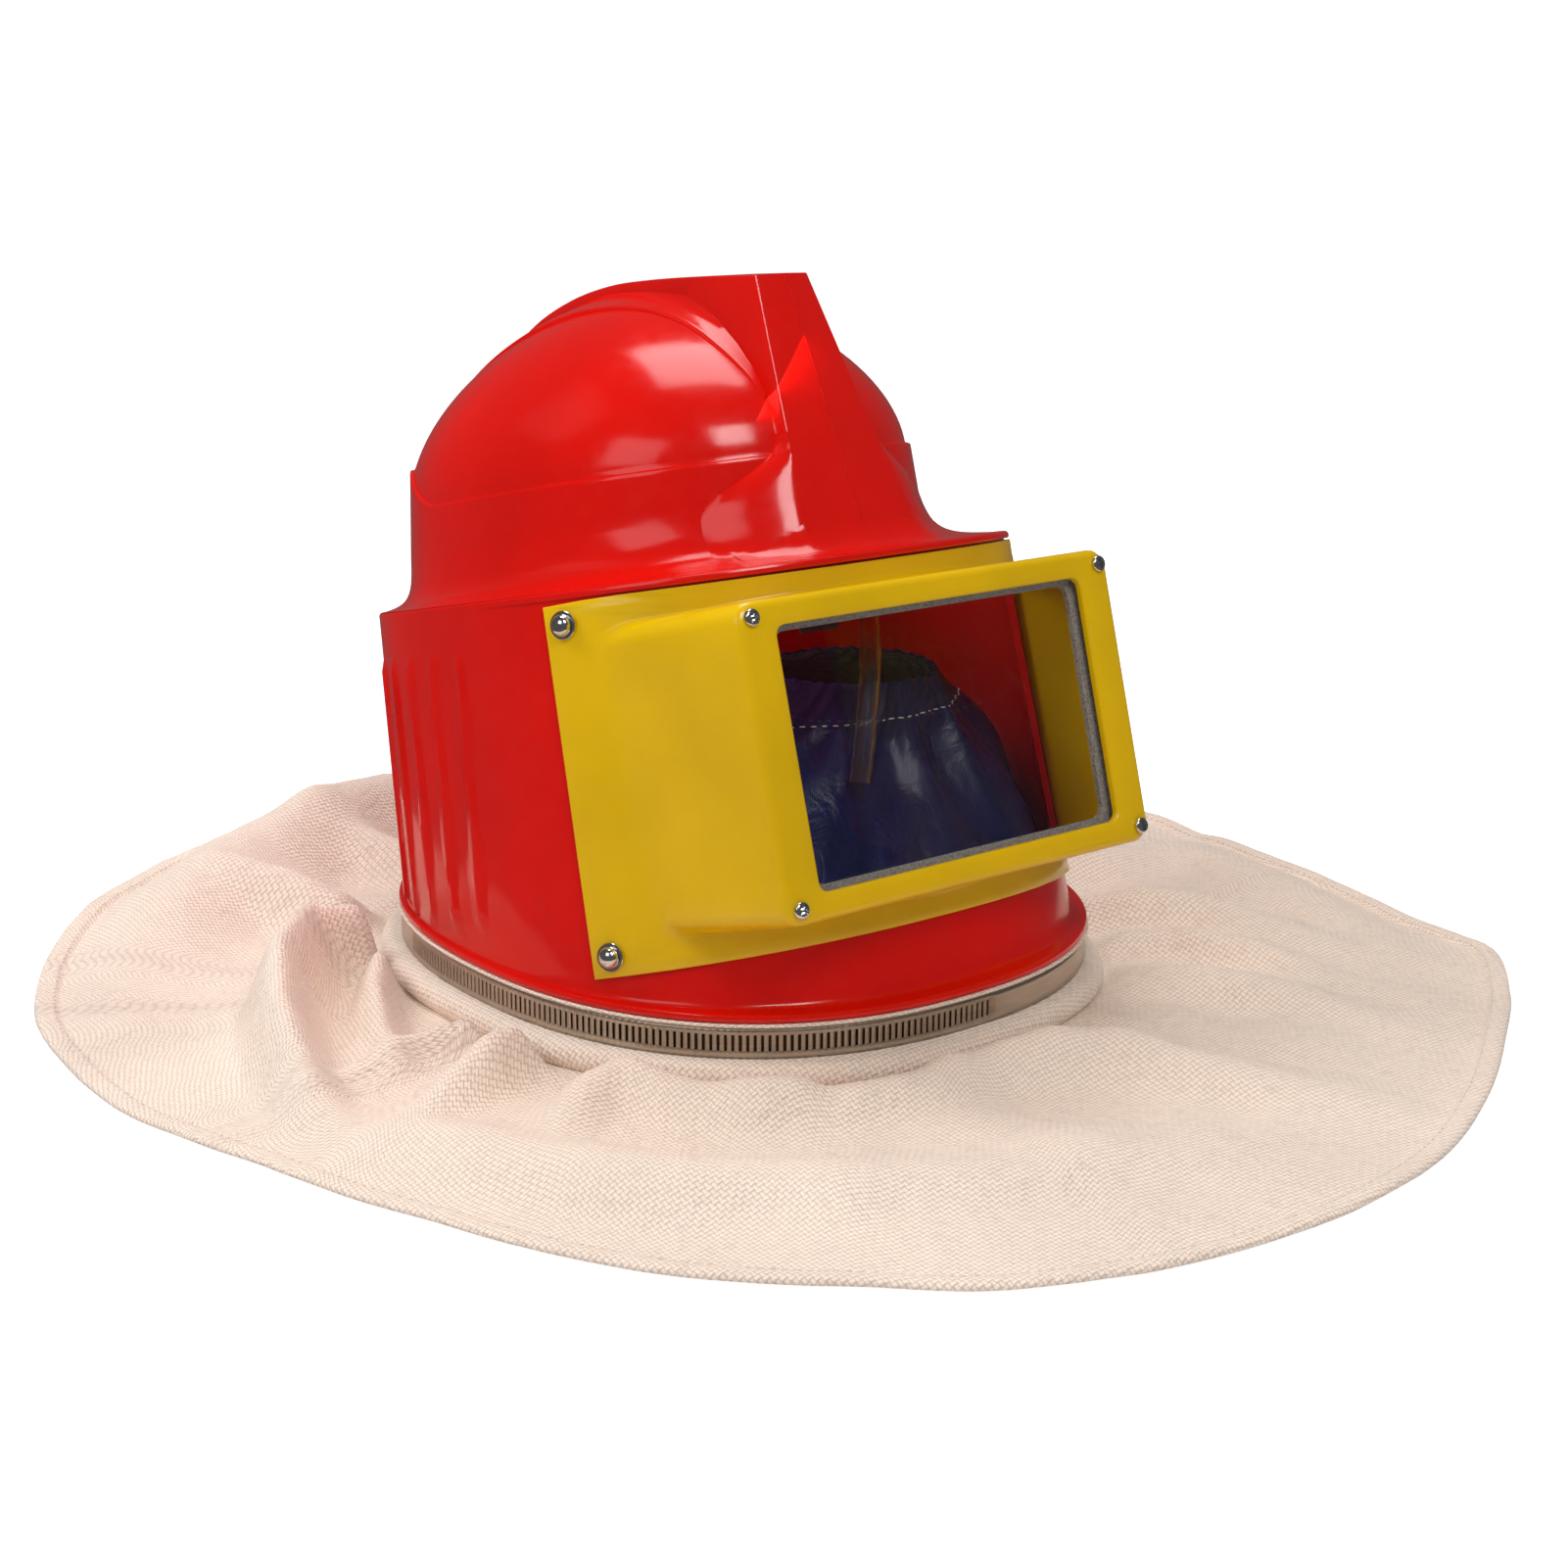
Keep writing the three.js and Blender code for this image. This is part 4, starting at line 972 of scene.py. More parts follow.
class HOOD_OT_shell(bpy.types.Operator):
    """Build the moulded shell with its dome, crest, band, brim and ribs"""

    bl_idname = "hood.shell"
    bl_label = "Shell"

    def execute(self, context):
        settings = context.scene.hood
        sides = settings.shell_sides
        cutout = block(
            (-CUTOUT_HALF_WIDTH, -CUTOUT_HALF_HEIGHT, -150),
            (CUTOUT_HALF_WIDTH, CUTOUT_HALF_HEIGHT, 0), WINDOW,
        )
        bm = combined(shell_outside(sides), [
            ("UNION", crest(0, 40)), ("UNION", crescent(60)), ("UNION", crest_fillet(-1)),
            ("UNION", crest_fillet(1)), ("UNION", crest_toe()), ("UNION", parting_line()),
            ("DIFFERENCE", shell_hollow(96, WALL)), ("DIFFERENCE", crest(WALL, 12)),
            ("DIFFERENCE", cutout),
        ])
        plastic = moulded_plastic("Polyethylene moulded red", settings.shell_color, 0.13, 0.0)
        finish_piece("shell_moulding", bm, plastic, 32, ["shell"])
        paint("tube_socket", plastic)
        return {"FINISHED"}


# Window box


def rounded_stations(half_width, half_height, corner, across=18, upright=10, bend=6):
    """Points round a rounded rectangle, as (x, up), with stations along its sides."""
    quarters = [(1, 1, 0), (-1, 1, 1), (-1, -1, 2), (1, -1, 3)]
    points = []
    for index, (sx, sy, quarter) in enumerate(quarters):
        for i in range(bend + 1):
            angle = math.pi / 2 * (quarter + i / bend)
            points.append((
                sx * (half_width - corner) + corner * math.cos(angle),
                sy * (half_height - corner) + corner * math.sin(angle),
            ))
        steps = across if index % 2 == 0 else upright
        x0, y0 = points[-1]
        nx, ny, turn = quarters[(index + 1) % 4]
        x1 = nx * (half_width - corner) + corner * math.cos(math.pi / 2 * turn)
        y1 = ny * (half_height - corner) + corner * math.sin(math.pi / 2 * turn)
        for i in range(1, steps):
            points.append((mix(x0, x1, i / steps), mix(y0, y1, i / steps)))
    return points


def on_body(turn, up, growth):
    """Point of the grown lower shell at a turn from the front, at a height along the window."""
    angle = turn - math.pi / 2
    foot = Vector((*oval_point(grown(FOOT, growth), angle), RIM_HEIGHT + RIM_LIP))
    shoulder = CROWN @ Vector((*oval_point(grown(SHOULDER, growth), angle), 0))
    low, high = (TO_WINDOW @ foot).y, (TO_WINDOW @ shoulder).y
    share = min((up - low) / (high - low), 0.994)
    return foot.lerp(shoulder, share)


def seek(measure, target, low, high, steps=34):
    """Where a rising measure reaches its target."""
    for _ in range(steps):
        middle = (low + high) / 2
        if measure(middle) < target:
            low = middle
        else:
            high = middle
    return (low + high) / 2


def box_half_width(depth):
    """Half width of the box at a depth behind its face."""
    return FACE_HALF_WIDTH + BOX_FLARE * depth


def foot_angle(share, up, growth, thinner=0):
    """Angle at which the box's wall, or its inner face, meets the grown shell."""
    def across(turn):
        local = TO_WINDOW @ on_body(turn, up, growth)
        return local.x / (box_half_width(-local.z) - thinner)

    return math.copysign(seek(across, abs(share), 0, math.pi / 2 * 0.95), share)


def edge_angle(up, growth, depth):
    """Angle from the front at which the shell lies this deep behind the window."""
    return seek(lambda turn: -(TO_WINDOW @ on_body(turn, up, growth)).z, depth, 0, math.pi / 2)


def flared(x, depth):
    """How far the box's wall has spread at a depth. It doesn't spread at its middle."""
    return math.copysign(BOX_FLARE * depth, x) * min(1, abs(x) / 90)


def window_frame_rings():
    """Rings of the window frame: out over the face, down the walls, along the plate and
    back inside."""
    plate = SEAT_GAP + PLATE_THICKNESS
    opening = rounded_stations(OPENING_HALF_WIDTH, OPENING_HALF_HEIGHT, OPENING_CORNER)
    outline = rounded_stations(FACE_HALF_WIDTH, FACE_HALF_HEIGHT, FACE_CORNER)
    rim = rounded_stations(1, PLATE_HALF_HEIGHT, 0.012)
    inner = rounded_stations(
        FACE_HALF_WIDTH - BOX_WALL, FACE_HALF_HEIGHT - BOX_WALL, FACE_CORNER - BOX_WALL,
    )

    def face(inset, depth):
        rows = []
        for x, up in opening:
            keep = 1 - inset / math.hypot(x, up)
            rows.append(WINDOW @ Vector((x * keep, up * keep, -depth)))
        return rows

    rings = [face(0, FACE_THICKNESS), face(0, 1.4), face(-0.35, 0.5), face(-1.4, 0)]
    wide = 1 - FACE_EDGE_ROUND / FACE_HALF_WIDTH
    tall = 1 - FACE_EDGE_ROUND / FACE_HALF_HEIGHT
    for share in (0.4975, 0.995):
        rings.append([
            WINDOW @ Vector((mix(a[0], b[0] * wide, share), mix(a[1], b[1] * tall, share), 0))
            for a, b in zip(opening, outline)
        ])
    for i in range(1, 7):
        angle = math.pi / 2 * i / 6
        pull = FACE_EDGE_ROUND * (1 - math.sin(angle))
        depth = FACE_EDGE_ROUND * (1 - math.cos(angle))
        wide = 1 - pull / FACE_HALF_WIDTH
        tall = 1 - pull / FACE_HALF_HEIGHT
        rings.append([
            WINDOW @ Vector((x * wide + flared(x, depth), up * tall, -depth))
            for x, up in outline
        ])
    start = rings[-1]
    feet = [(foot_angle(x / FACE_HALF_WIDTH, up, plate), up) for x, up in outline]
    outer = [(share * edge_angle(up, plate, PLATE_DEPTH), up) for share, up in rim]
    ground = [on_body(turn, up, plate) for turn, up in feet]
    before, after = [], []
    for a, foot, (turn, up), (far_turn, far_up) in zip(start, ground, feet, outer):
        back = min(0.45, FRAME_FILLET / max((a - foot).length, 1))
        before.append(foot.lerp(a, back))
        far = on_body(far_turn, far_up, plate)
        out = min(0.5, FRAME_FILLET / max((far - foot).length, 1))
        after.append((mix(turn, far_turn, out), mix(up, far_up, out)))
    landed = [on_body(turn, up, plate) for turn, up in after]
    rings += [[a.lerp(b, share) for a, b in zip(start, before)] for share in (0.33, 0.66, 1)]
    for share in (0.17, 0.34, 0.5, 0.67, 0.84):
        rings.append([
            a.lerp(foot, share).lerp(foot.lerp(b, share), share)
            for a, foot, b in zip(before, ground, landed)
        ])

    def plate_ring(share, growth, pull=0.0):
        points = []
        for (turn, up), (far_turn, far_up) in zip(after, outer):
            points.append(on_body(
                mix(turn, far_turn, share) * (1 - pull), mix(up, far_up, share) * (1 - pull),
                growth,
            ))
        return points

    rings += [
        plate_ring(0, plate), plate_ring(0.5, plate), plate_ring(1, plate, 0.006),
        plate_ring(1, plate - 0.25, 0.0015), plate_ring(1, plate - 0.9),
        plate_ring(1, SEAT_GAP + 0.2), plate_ring(0.97, SEAT_GAP), plate_ring(0.3, SEAT_GAP),
    ]
    inside, front = [], []
    for x, up in inner:
        turn = foot_angle(x / (FACE_HALF_WIDTH - BOX_WALL), up, SEAT_GAP, BOX_WALL)
        inside.append(on_body(turn, up, SEAT_GAP))
        place = (x + flared(x, FACE_THICKNESS), up, -FACE_THICKNESS)
        front.append(WINDOW @ Vector(place))
    rings += [inside, [a.lerp(b, 0.5) for a, b in zip(inside, front)], front]
    return rings


class HOOD_OT_window_frame(bpy.types.Operator):
    """Build the yellow window box with its wrap-round plate"""

    bl_idname = "hood.window_frame"
    bl_label = "Window frame"

    def execute(self, context):
        yellow = context.scene.hood.frame_color
        plastic = moulded_plastic("Polyethylene moulded yellow", yellow, 0.19, 0.12)
        box = loft(window_frame_rings(), close=True)
        finish_piece("window_box", box, plastic, 50, ["visor_frame"])
        return {"FINISHED"}


class HOOD_OT_glazing(bpy.types.Operator):
    """Finish the glass, its gasket and the ring that clamps it"""

    bl_idname = "hood.glazing"
    bl_label = "Glazing"

    def execute(self, context):
        paint("lens", clear_plastic("Acrylic sheet clear", "#f6faf9", 0.0, 0.06))
        paint("lens_gasket", sponge_rubber())
        paint("lens_clamp", bpy.data.materials["Polyethylene moulded yellow"])
        return {"FINISHED"}


# Fasteners


def turned(profile, sides, closed=False):
    """A shape turned about Z from rows of (radius, height). A closed section makes a ring,
    and any other one starts and ends on the axis."""
    bm = bmesh.new()
    verts = [bm.verts.new((radius, 0, height)) for radius, height in profile]
    ends = verts[1:] + verts[:1] if closed else verts[1:]
    edges = [bm.edges.new(pair) for pair in zip(verts, ends)]
    bmesh.ops.spin(
        bm, geom=verts + edges, cent=(0, 0, 0), axis=(0, 0, 1), angle=TURN, steps=sides,
        use_merge=True,
    )
    return cleaned(bm)


def face_screw():
    """A pan-head screw with a cross recess."""
    head = 3.7
    base = SEAT_GAP
    bm = turned([(0, -15), (1.8, -15), (1.8, base), (head - 0.2, base), (head, base + 0.2),
                 (head, base + 0.9), (head - 0.15, base + 1.35), (head - 0.5, base + 1.7),
                 (head - 1.1, base + 1.95), (head - 2, base + 2.1), (0, base + 2.2)], 32)
    for turn in (0.4, 0.4 + math.pi / 2):
        spin = Matrix.Rotation(turn, 4, "Z")
        slot = block((-2.5, -0.6, base + 0.4), (2.5, 0.6, base + 4), spin)
        bm = combined(bm, [("DIFFERENCE", slot)])
    return bm


def dome_bolt():
    """A domed cap with a small turned collar under it."""
    seat = 1.9
    rows = [(0, -8.8), (2.3, -8.8), (2.3, seat), (4.8, seat), (4.8, seat + 0.5),
            (4.55, seat + 0.8)]
    for i in range(10):
        angle = math.pi / 2 * i / 9
        rows.append((4.5 * math.cos(angle), seat + 0.9 + 3.1 * math.sin(angle)))
    return turned(rows, 40)


def washer():
    """A flat washer with rolled edges."""
    return turned([(2.9, 0.6), (6.1, 0.6), (6.3, 0.8), (6.3, 1.35), (6.1, 1.6), (3.1, 1.6),
                   (2.9, 1.4)], 40, closed=True)


def bolt_places():
    """Frames of the four bolts, in from the plate's corners by the same amount both ways."""
    places = []
    growth = SEAT_GAP + PLATE_THICKNESS
    for up in (PLATE_HALF_HEIGHT - BOLT_INSET, BOLT_INSET - PLATE_HALF_HEIGHT):
        inset = edge_angle(up, growth, PLATE_DEPTH - BOLT_INSET)
        for turn in (-inset, inset):
            along = on_body(turn + 0.02, up, growth) - on_body(turn - 0.02, up, growth)
            rise = on_body(turn, up + 2, growth) - on_body(turn, up - 2, growth)
            normal = along.cross(rise).normalized()
            facing = Vector((0, 0, 1)).rotation_difference(normal).to_matrix().to_4x4()
            places.append(Matrix.Translation(on_body(turn, up, growth)) @ facing)
    return places


class HOOD_OT_fasteners(bpy.types.Operator):
    """Build the face screws, and the domed bolts with their washers"""

    bl_idname = "hood.fasteners"
    bl_label = "Fasteners"

    def execute(self, context):
        steel = plated_steel()
        corners = [(-1, 1), (1, 1), (-1, -1), (1, -1)]
        for i, (side, rise) in enumerate(corners, 1):
            corner = Matrix.Translation((side * FACE_SCREW_X, rise * FACE_SCREW_UP, 0))
            screw = moved(face_screw(), WINDOW @ corner @ Matrix.Rotation(0.7 * i, 4, "Z"))
            finish_piece(f"cross_screw_{i}", screw, steel, 30, [f"face_screw_{i}"])
        for i, place in enumerate(bolt_places(), 1):
            for shape, name, node in (
                (dome_bolt(), "domed_head", "dome_bolt"), (washer(), "flat_washer", "bolt_washer"),
            ):
                finish_piece(
                    f"{name}_{i}", moved(shape, place), steel, 35,
                    [f"{node}_{i}"],
                )
        return {"FINISHED"}


# Clamp band


def along_oval(oval, start, lengths):
    """Angles, falling from the start, at which an oval's outline has run these lengths."""
    step = math.radians(0.05)
    angles = []
    angle, run = start, 0.0
    last = Vector(oval_point(oval, angle))
    for length in lengths:
        while run < length:
            angle -= step
            here = Vector(oval_point(oval, angle))
            run += (here - last).length
            last = here
        angles.append(angle)
    return angles


def oval_length(oval):
    """Length of an oval's outline."""
    points = [Vector(oval_point(oval, TURN * i / 3600)) for i in range(3600)]
    return sum((a - b).length for a, b in zip(points, points[1:] + points[:1]))


SLOT_END = math.radians(-87.6)


def clamp_band(slot_count):
    """The slotted strip: a wall round the collar, with its slots' faces taken out."""
    slotted = slot_count * SLOT_PITCH
    stops = []
    for i in range(slot_count):
        stops += [i * SLOT_PITCH, i * SLOT_PITCH + SLOT_WIDTH]
    rest = oval_length(BAND) - slotted
    stops += [slotted + rest * i / PLAIN_STOPS for i in range(PLAIN_STOPS)]
    middle = grown(BAND, -BAND_THICKNESS / 2)
    angles = along_oval(middle, SLOT_END, [stop * STRIP_SHARE for stop in stops])
    columns = [oval_point(middle, angle) for angle in angles]
    top = RIM_HEIGHT - BAND_DROP
    centre = top - BAND_HEIGHT / 2
    reach = SLOT_HEIGHT / 2
    bm = bmesh.new()
    ring, station = first_ring(bm, [(*column, top) for column in columns])
    rows = []
    for height in (centre + reach, centre + reach - 0.6, centre - reach + 0.6, centre - reach,
                   top - BAND_HEIGHT):
        ring, parts = next_ring(bm, ring, station, [(*column, height) for column in columns])
        rows.append([part for part in parts if isinstance(part, bmesh.types.BMFace)])
    gone = []
    for face in rows[1] + rows[2] + rows[3]:
        low = min(vert[station] for vert in face.verts)
        high = max(vert[station] for vert in face.verts)
        if high - low == 1 and low % 2 == 0 and low < 2 * slot_count:
            gone.append(face)
    bmesh.ops.delete(bm, geom=gone, context="FACES")
    bmesh.ops.recalc_face_normals(bm, faces=bm.faces)
    return bm


class HOOD_OT_clamp_band(bpy.types.Operator):
    """Build the slotted worm-drive band and its screw housing"""

    bl_idname = "hood.clamp_band"
    bl_label = "Clamp band"

    def execute(self, context):
        steel = rolled_steel()
        band = finish_piece(
            "slotted_band", clamp_band(context.scene.hood.slot_count), steel, 60,
            ["clamp_band"],
        )
        wall = band.modifiers.new("Strip thickness", "SOLIDIFY")
        wall.thickness = BAND_THICKNESS * MM
        wall.offset = 0
        # A dark strip behind the slots stands in for the shade inside them
        self.shade_strip(self.slot_shaded(steel))
        self.housing(steel)
        return {"FINISHED"}

    def slot_shaded(self, steel):
        """The same strip, coloured near black as painted shade where the slots show it."""
        dark = steel.copy()
        dark.name = "Steel rolled strip painted shade"
        ramp = next(node for node in dark.node_tree.nodes if node.type == "VALTORGB")
        # Painted shade: near-black tints for the shadow seen through the slots
        for element, tint in zip(ramp.color_ramp.elements, ("#2c2621", "#3d352e")):
            element.color = colour(tint)
        return dark

    def shade_strip(self, steel):
        """A plain strip inside the slotted one, which shows through the slots as painted shade."""
        rings = []
        for inset, height in ((1.0, 28.6), (1.15, 28.6), (1.15, 17), (1.0, 17)):
            rings.append(ring_points(grown(BAND, -inset), height, None, 200))
        finish_piece("band_shade_strip", loft(rings, close=True), steel, 60)

    def housing(self, steel):
        """The worm's housing at the back, with the screw through it."""
        low, high = (Vector(corner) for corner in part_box("band_screw"))
        centre = Matrix.Translation(((low + high) / 2 - rim_centre()) / MM)
        bm = block((-13, -4.4, -6.4), (13, 4.4, 6.4))
        arch = []
        for edge in bm.edges:
            a, b = (vert.co for vert in edge.verts)
            if abs(a.x - b.x) > 1 and a.y > 0:
                arch.append(edge)
        bevel(bm, arch, 3.6, 6)
        bevel(bm, [e for e in bm.edges if e.calc_length() > 4 and e.calc_face_angle(0) > 1], 0.5, 2)
        finish_piece("worm_housing", moved(bm, centre), steel, 40, ["band_screw"])
        head = turned([(0, -19.4), (3.4, -19.4), (3.9, -18.9), (3.9, -14), (4.6, -13.8),
                       (4.6, -13.1), (0, -13.1)], 24)
        head = combined(head, [("DIFFERENCE", block((-5, -0.5, -21), (5, 0.5, -18.2)))])
        tip = turned([(0, 13.1), (3.7, 13.1), (3.7, 18), (3.0, 19.3), (0, 19.3)], 24)
        lying = centre @ Matrix.Rotation(math.pi / 2, 4, "Y")
        finish_piece("worm_screw_head", moved(head, lying), steel, 35)
        finish_piece("worm_screw_tip", moved(tip, lying), steel, 35)


# Cape

ROLL_OUT = 11
HEM_WIDTH = 12

# Plan of the hem: angle round the hood and radius, in degrees and millimetres
HEM = [(8, 352), (30, 350), (60, 356), (86, 360), (106, 354), (121, 345), (133, 341), (142, 338),
       (159, 337), (167, 332), (178, 326), (185, 319), (195, 314), (204, 319), (211, 323),
       (218, 332), (222, 338), (228, 346), (233, 351), (240, 358), (245, 367), (251, 373),
       (270, 375), (281, 373), (292, 367), (304, 365), (315, 372), (323, 377), (326, 370),
       (331, 353), (337, 346), (350, 337), (358, 337)]

# Folds of the cape: half width and crest line, as (x, y, height), all in millimetres
FOLDS = [
    (58, [(-25, 300, 34), (-83, 282, 37), (-141, 258, 29), (-204, 216, 21), (-252, 172, 11),
          (-292, 120, 5), (-312, 40, 2)]),
    (23, [(-166, 92, 36), (-193, 88, 46), (-222, 60, 42), (-243, 20, 31), (-259, -28, 18),
          (-271, -75, 4)]),
    (15, [(-168, 62, 26), (-186, 36, 22), (-203, 4, 15), (-212, -24, 9)]),
    (10, [(-240, -22, 5), (-212, -17, 12), (-188, -19, 16), (-174, -24, 17)]),
    (22, [(-168, -56, 17), (-188, -62, 18), (-220, -76, 11), (-256, -98, 3)]),
    (20, [(-154, -108, 16), (-172, -114, 16), (-206, -134, 7)]),
    (26, [(-146, -118, 15), (-138, -140, 14), (-120, -164, 12), (-92, -180, 12), (-50, -190, 12),
          (-8, -194, 13), (20, -200, 14)]),
    (38, [(-262, -60, 3), (-236, -130, 9), (-196, -194, 12), (-140, -240, 11), (-66, -276, 7),
          (0, -300, 2)]),
    (30, [(172, -70, 10), (190, -86, 17), (210, -110, 14), (226, -146, 8), (238, -195, 2)]),
    (28, [(128, -150, 8), (144, -174, 13), (162, -214, 10), (178, -262, 3)]),
    (30, [(18, -194, 13), (40, -222, 15), (66, -266, 12), (96, -314, 4)]),
    (18, [(160, -112, 7), (176, -128, 10), (190, -168, 8), (206, -220, 3)]),
    (40, [(300, -20, 7), (288, -80, 12), (276, -140, 8), (262, -200, 3)]),
    (34, [(180, 20, 12), (212, 8, 18), (262, -12, 10), (310, -30, 2)]),
    (30, [(168, 98, 12), (212, 118, 16), (280, 150, 3)]),
    (30, [(124, 176, 12), (156, 222, 17), (190, 280, 3)]),
    (28, [(38, 206, 12), (46, 250, 16), (60, 310, 3)]),
    (28, [(-62, 200, 16), (-70, 240, 22), (-83, 282, 22)]),
    (26, [(-134, 164, 18), (-150, 190, 22), (-170, 225, 22)]),
]


def fold_lift(x, y):
    """Height of the folds over the flat cloth at a place in plan."""
    total = 0.0
    for spread, crest_line in FOLDS:
        best = 0.0
        for (ax, ay, ah), (bx, by, bh) in zip(crest_line, crest_line[1:]):
            dx, dy = bx - ax, by - ay
            along = min(1, max(0, ((x - ax) * dx + (y - ay) * dy) / (dx * dx + dy * dy)))
            off = math.hypot(x - ax - dx * along, y - ay - dy * along)
            if off < spread:
                best = max(best, mix(ah, bh, along) * (1 - smooth(off, 0, spread)))
        total += best ** 3
    return total ** (1 / 3)


def gathers(c, s, away):
    """Soft wrinkles that radiate from the clamp band and die out in the flat cloth."""
    near = max(0, noise.noise(Vector((c * 7.5, s * 7.5, away / 70))) - 0.02)
    broad = max(0, noise.noise(Vector((c * 3.4, s * 3.4, 5 + away / 160))))
    spread = smooth(away, 20, 60) * (1 - smooth(away, 95, 170))
    return 20 * near * math.exp(-away / 52) + 11 * broad * spread


def cape_line(angle, roll_radius, hem_radius):
    """One radial section of the cape's upper face: (outwards, up) from the collar's foot."""
    facing = math.radians(angle)
    c, s = math.cos(facing), math.sin(facing)
    foot = RIM_HEIGHT - BAND_DROP - BAND_HEIGHT - 2 * SEAT_GAP
    top = RIM_HEIGHT - SEAT_GAP
    rows = [(0.3, top), (2.2, top - 0.03), (3.1, top - 0.45), (3.1, top - 1.1),
            (2.4, top - 1.6), (0.1, top - 1.8), (0, mix(foot, RIM_HEIGHT, 0.5)), (0, foot + 0.6)]
    out = ROLL_OUT * (1 + 0.3 * noise.noise(Vector((c * 2.5, s * 2.5, 0))))
    for i in range(11):
        turn = math.pi * (0.5 - 0.8 * i / 10)
        rows.append((
            out * 0.42 + out * 0.6 * math.cos(turn), foot * 0.56 + foot * 0.42 * math.sin(turn),
        ))
    rows.append((out * 1.02, CANVAS + 0.6))
    rows.append((out * 1.3, CANVAS + 1.2))
    start = ROLL_OUT * 1.75
    reach = hem_radius - roll_radius
    inner = reach - HEM_WIDTH
    steps = 56
    for i in range(steps + 1):
        share = i / steps
        away = start + (inner - start) * share
        radius = roll_radius + away
        place = Vector((c, s, 0)) * radius / 45
        ripple = 2.2 * (noise.fractal(place, 1, 2, 3) + 0.5) * (1 - smooth(share, 0.75, 1))
        edge = 1.6 * max(0, noise.noise(Vector((c * 7, s * 7, 4)))) * smooth(share, 0.7, 1)
        lift = fold_lift(radius * c, radius * s) + gathers(c, s, away)
        rows.append((away, CANVAS + 0.2 + lift + max(0, ripple) + edge))
    base = rows[-1][1]
    for away, up in ((0.08, 0.1), (0.14, 0.5), (0.2, 0.9), (0.32, 1.3), (0.6, 1.7), (0.86, 1.5),
                     (0.96, 0.9), (1.0, 0.0)):
        rows.append((inner + HEM_WIDTH * away, base + 1.5 * up))
    return rows


CAPE_SIDES = 360

# Rows of a section, from the collar to the end of the roll and from the start of the hem
ROLL_ROWS = 19
HEM_ROWS = 10


def spot(point):
    """A point to the nearest thousandth, to find it again by."""
    return tuple(round(c, 3) for c in point)


class HOOD_OT_cape(bpy.types.Operator):
    """Build the canvas cape with its roll, folds, hem and stitching"""

    bl_idname = "hood.cape"
    bl_label = "Cape"

    def execute(self, context):
        settings = context.scene.hood
        sections = []
        cuts = []
        for i in range(CAPE_SIDES):
            angle = 360 * i / CAPE_SIDES
            facing = math.radians(angle)
            roll_radius = math.hypot(*oval_towards(CAPE_COLLAR, facing))
            hem_radius = round_table(HEM, angle)
            line = cape_line(angle, roll_radius, hem_radius)
            c, s = math.cos(facing), math.sin(facing)
            sections.append([
                Vector(((roll_radius + out) * c, (roll_radius + out) * s, up)) for out, up in line
            ])
            run, cut = 0.0, []
            for a, b in zip([line[0]] + line, line):
                run += math.dist(a, b)
                cut.append((run + roll_radius - 20) * MM)
            cuts.append([(far * c, far * s) for far in cut])
        rings = [list(ring) for ring in zip(*sections)]
        bm = loft(rings, caps=False)
        self.lay_cut(bm, rings, cuts)
        self.soften(bm, rings)
        canvas = woven_canvas(settings.canvas_color, settings.thread_pitch)
        cape = finish_piece("canvas_cape", bm, canvas, 60, ["cape"])
        wall = cape.modifiers.new("Canvas thickness", "SOLIDIFY")
        wall.thickness = CANVAS * 0.85 * MM
        wall.offset = -1
        self.stitches(rings, settings)
        return {"FINISHED"}

    def soften(self, bm, rings):
        """Lets the folds' creases relax, but neither the roll nor the hem."""
        fixed = {spot(point) for ring in rings[:ROLL_ROWS] + rings[-HEM_ROWS:] for point in ring}
        loose = [v for v in bm.verts if spot(v.co) not in fixed]
        for _ in range(3):
            bmesh.ops.smooth_vert(
                bm, verts=loose, factor=0.5, use_axis_x=True, use_axis_y=True, use_axis_z=True,
            )

    def lay_cut(self, bm, rings, cuts):
        """Gives each point its place on the cloth before it was gathered."""
        layer = bm.loops.layers.uv.new("cut")
        places = {}
        for section, cut in zip(zip(*rings), cuts):
            places.update(zip(map(spot, section), cut))
        for face in bm.faces:
            for loop in face.loops:
                loop[layer].uv = places.get(spot(loop.vert.co), (0, 0))

    def flat_area(self, rings):
        """Area of the cloth in square metres."""
        area = 0.0
        for low, high in zip(rings, rings[1:]):
            count = len(low)
            for i in range(count):
                j = (i + 1) % count
                area += ((low[j] - low[i]).cross(high[i] - low[i])).length / 2
                area += ((high[j] - high[i]).cross(high[j] - low[j])).length / 2
        return area * MM * MM

    def stitches(self, rings, settings):
        """Thread along the hem, one small bead for each stitch."""
        track = [a.lerp(b, 0.5) for a, b in zip(rings[-6], rings[-5])]
        return sew("hem_stitches", track, settings.stitch_pitch / MM, 0.42, 0.2,
                   sewing_thread("Thread polyester cream", (0.95, 0.9, 0.86)))


def sew(name, track, pitch, radius, lift, material):
    """Stitches along a closed track of points, each a slim bead lying on the cloth."""
    bm = bmesh.new()
    length = sum((a - b).length for a, b in zip(track, track[1:] + track[:1]))
    count = int(length / pitch)
    marks = []
    run = 0.0
    target = 0.0
    for a, b in zip(track, track[1:] + track[:1]):
        step = (b - a).length
        while len(marks) < 2 * count and run + step >= target:
            marks.append(a.lerp(b, (target - run) / step if step else 0))
            target += length / (2 * count)
        run += step
    for start, end in zip(marks[0::2], marks[1::2]):
        reach = (end - start).length * 0.62
        turn = Vector((1, 0, 0)).rotation_difference(end - start).to_matrix().to_4x4()
        middle = Matrix.Translation((start + end) / 2 + Vector((0, 0, lift)))
        place = middle @ turn @ Matrix.Diagonal((reach, radius, radius * 0.8, 1))
        bmesh.ops.create_uvsphere(bm, u_segments=6, v_segments=4, radius=1, matrix=place)
    return finish_piece(name, bm, material, 180)


# Neck seal

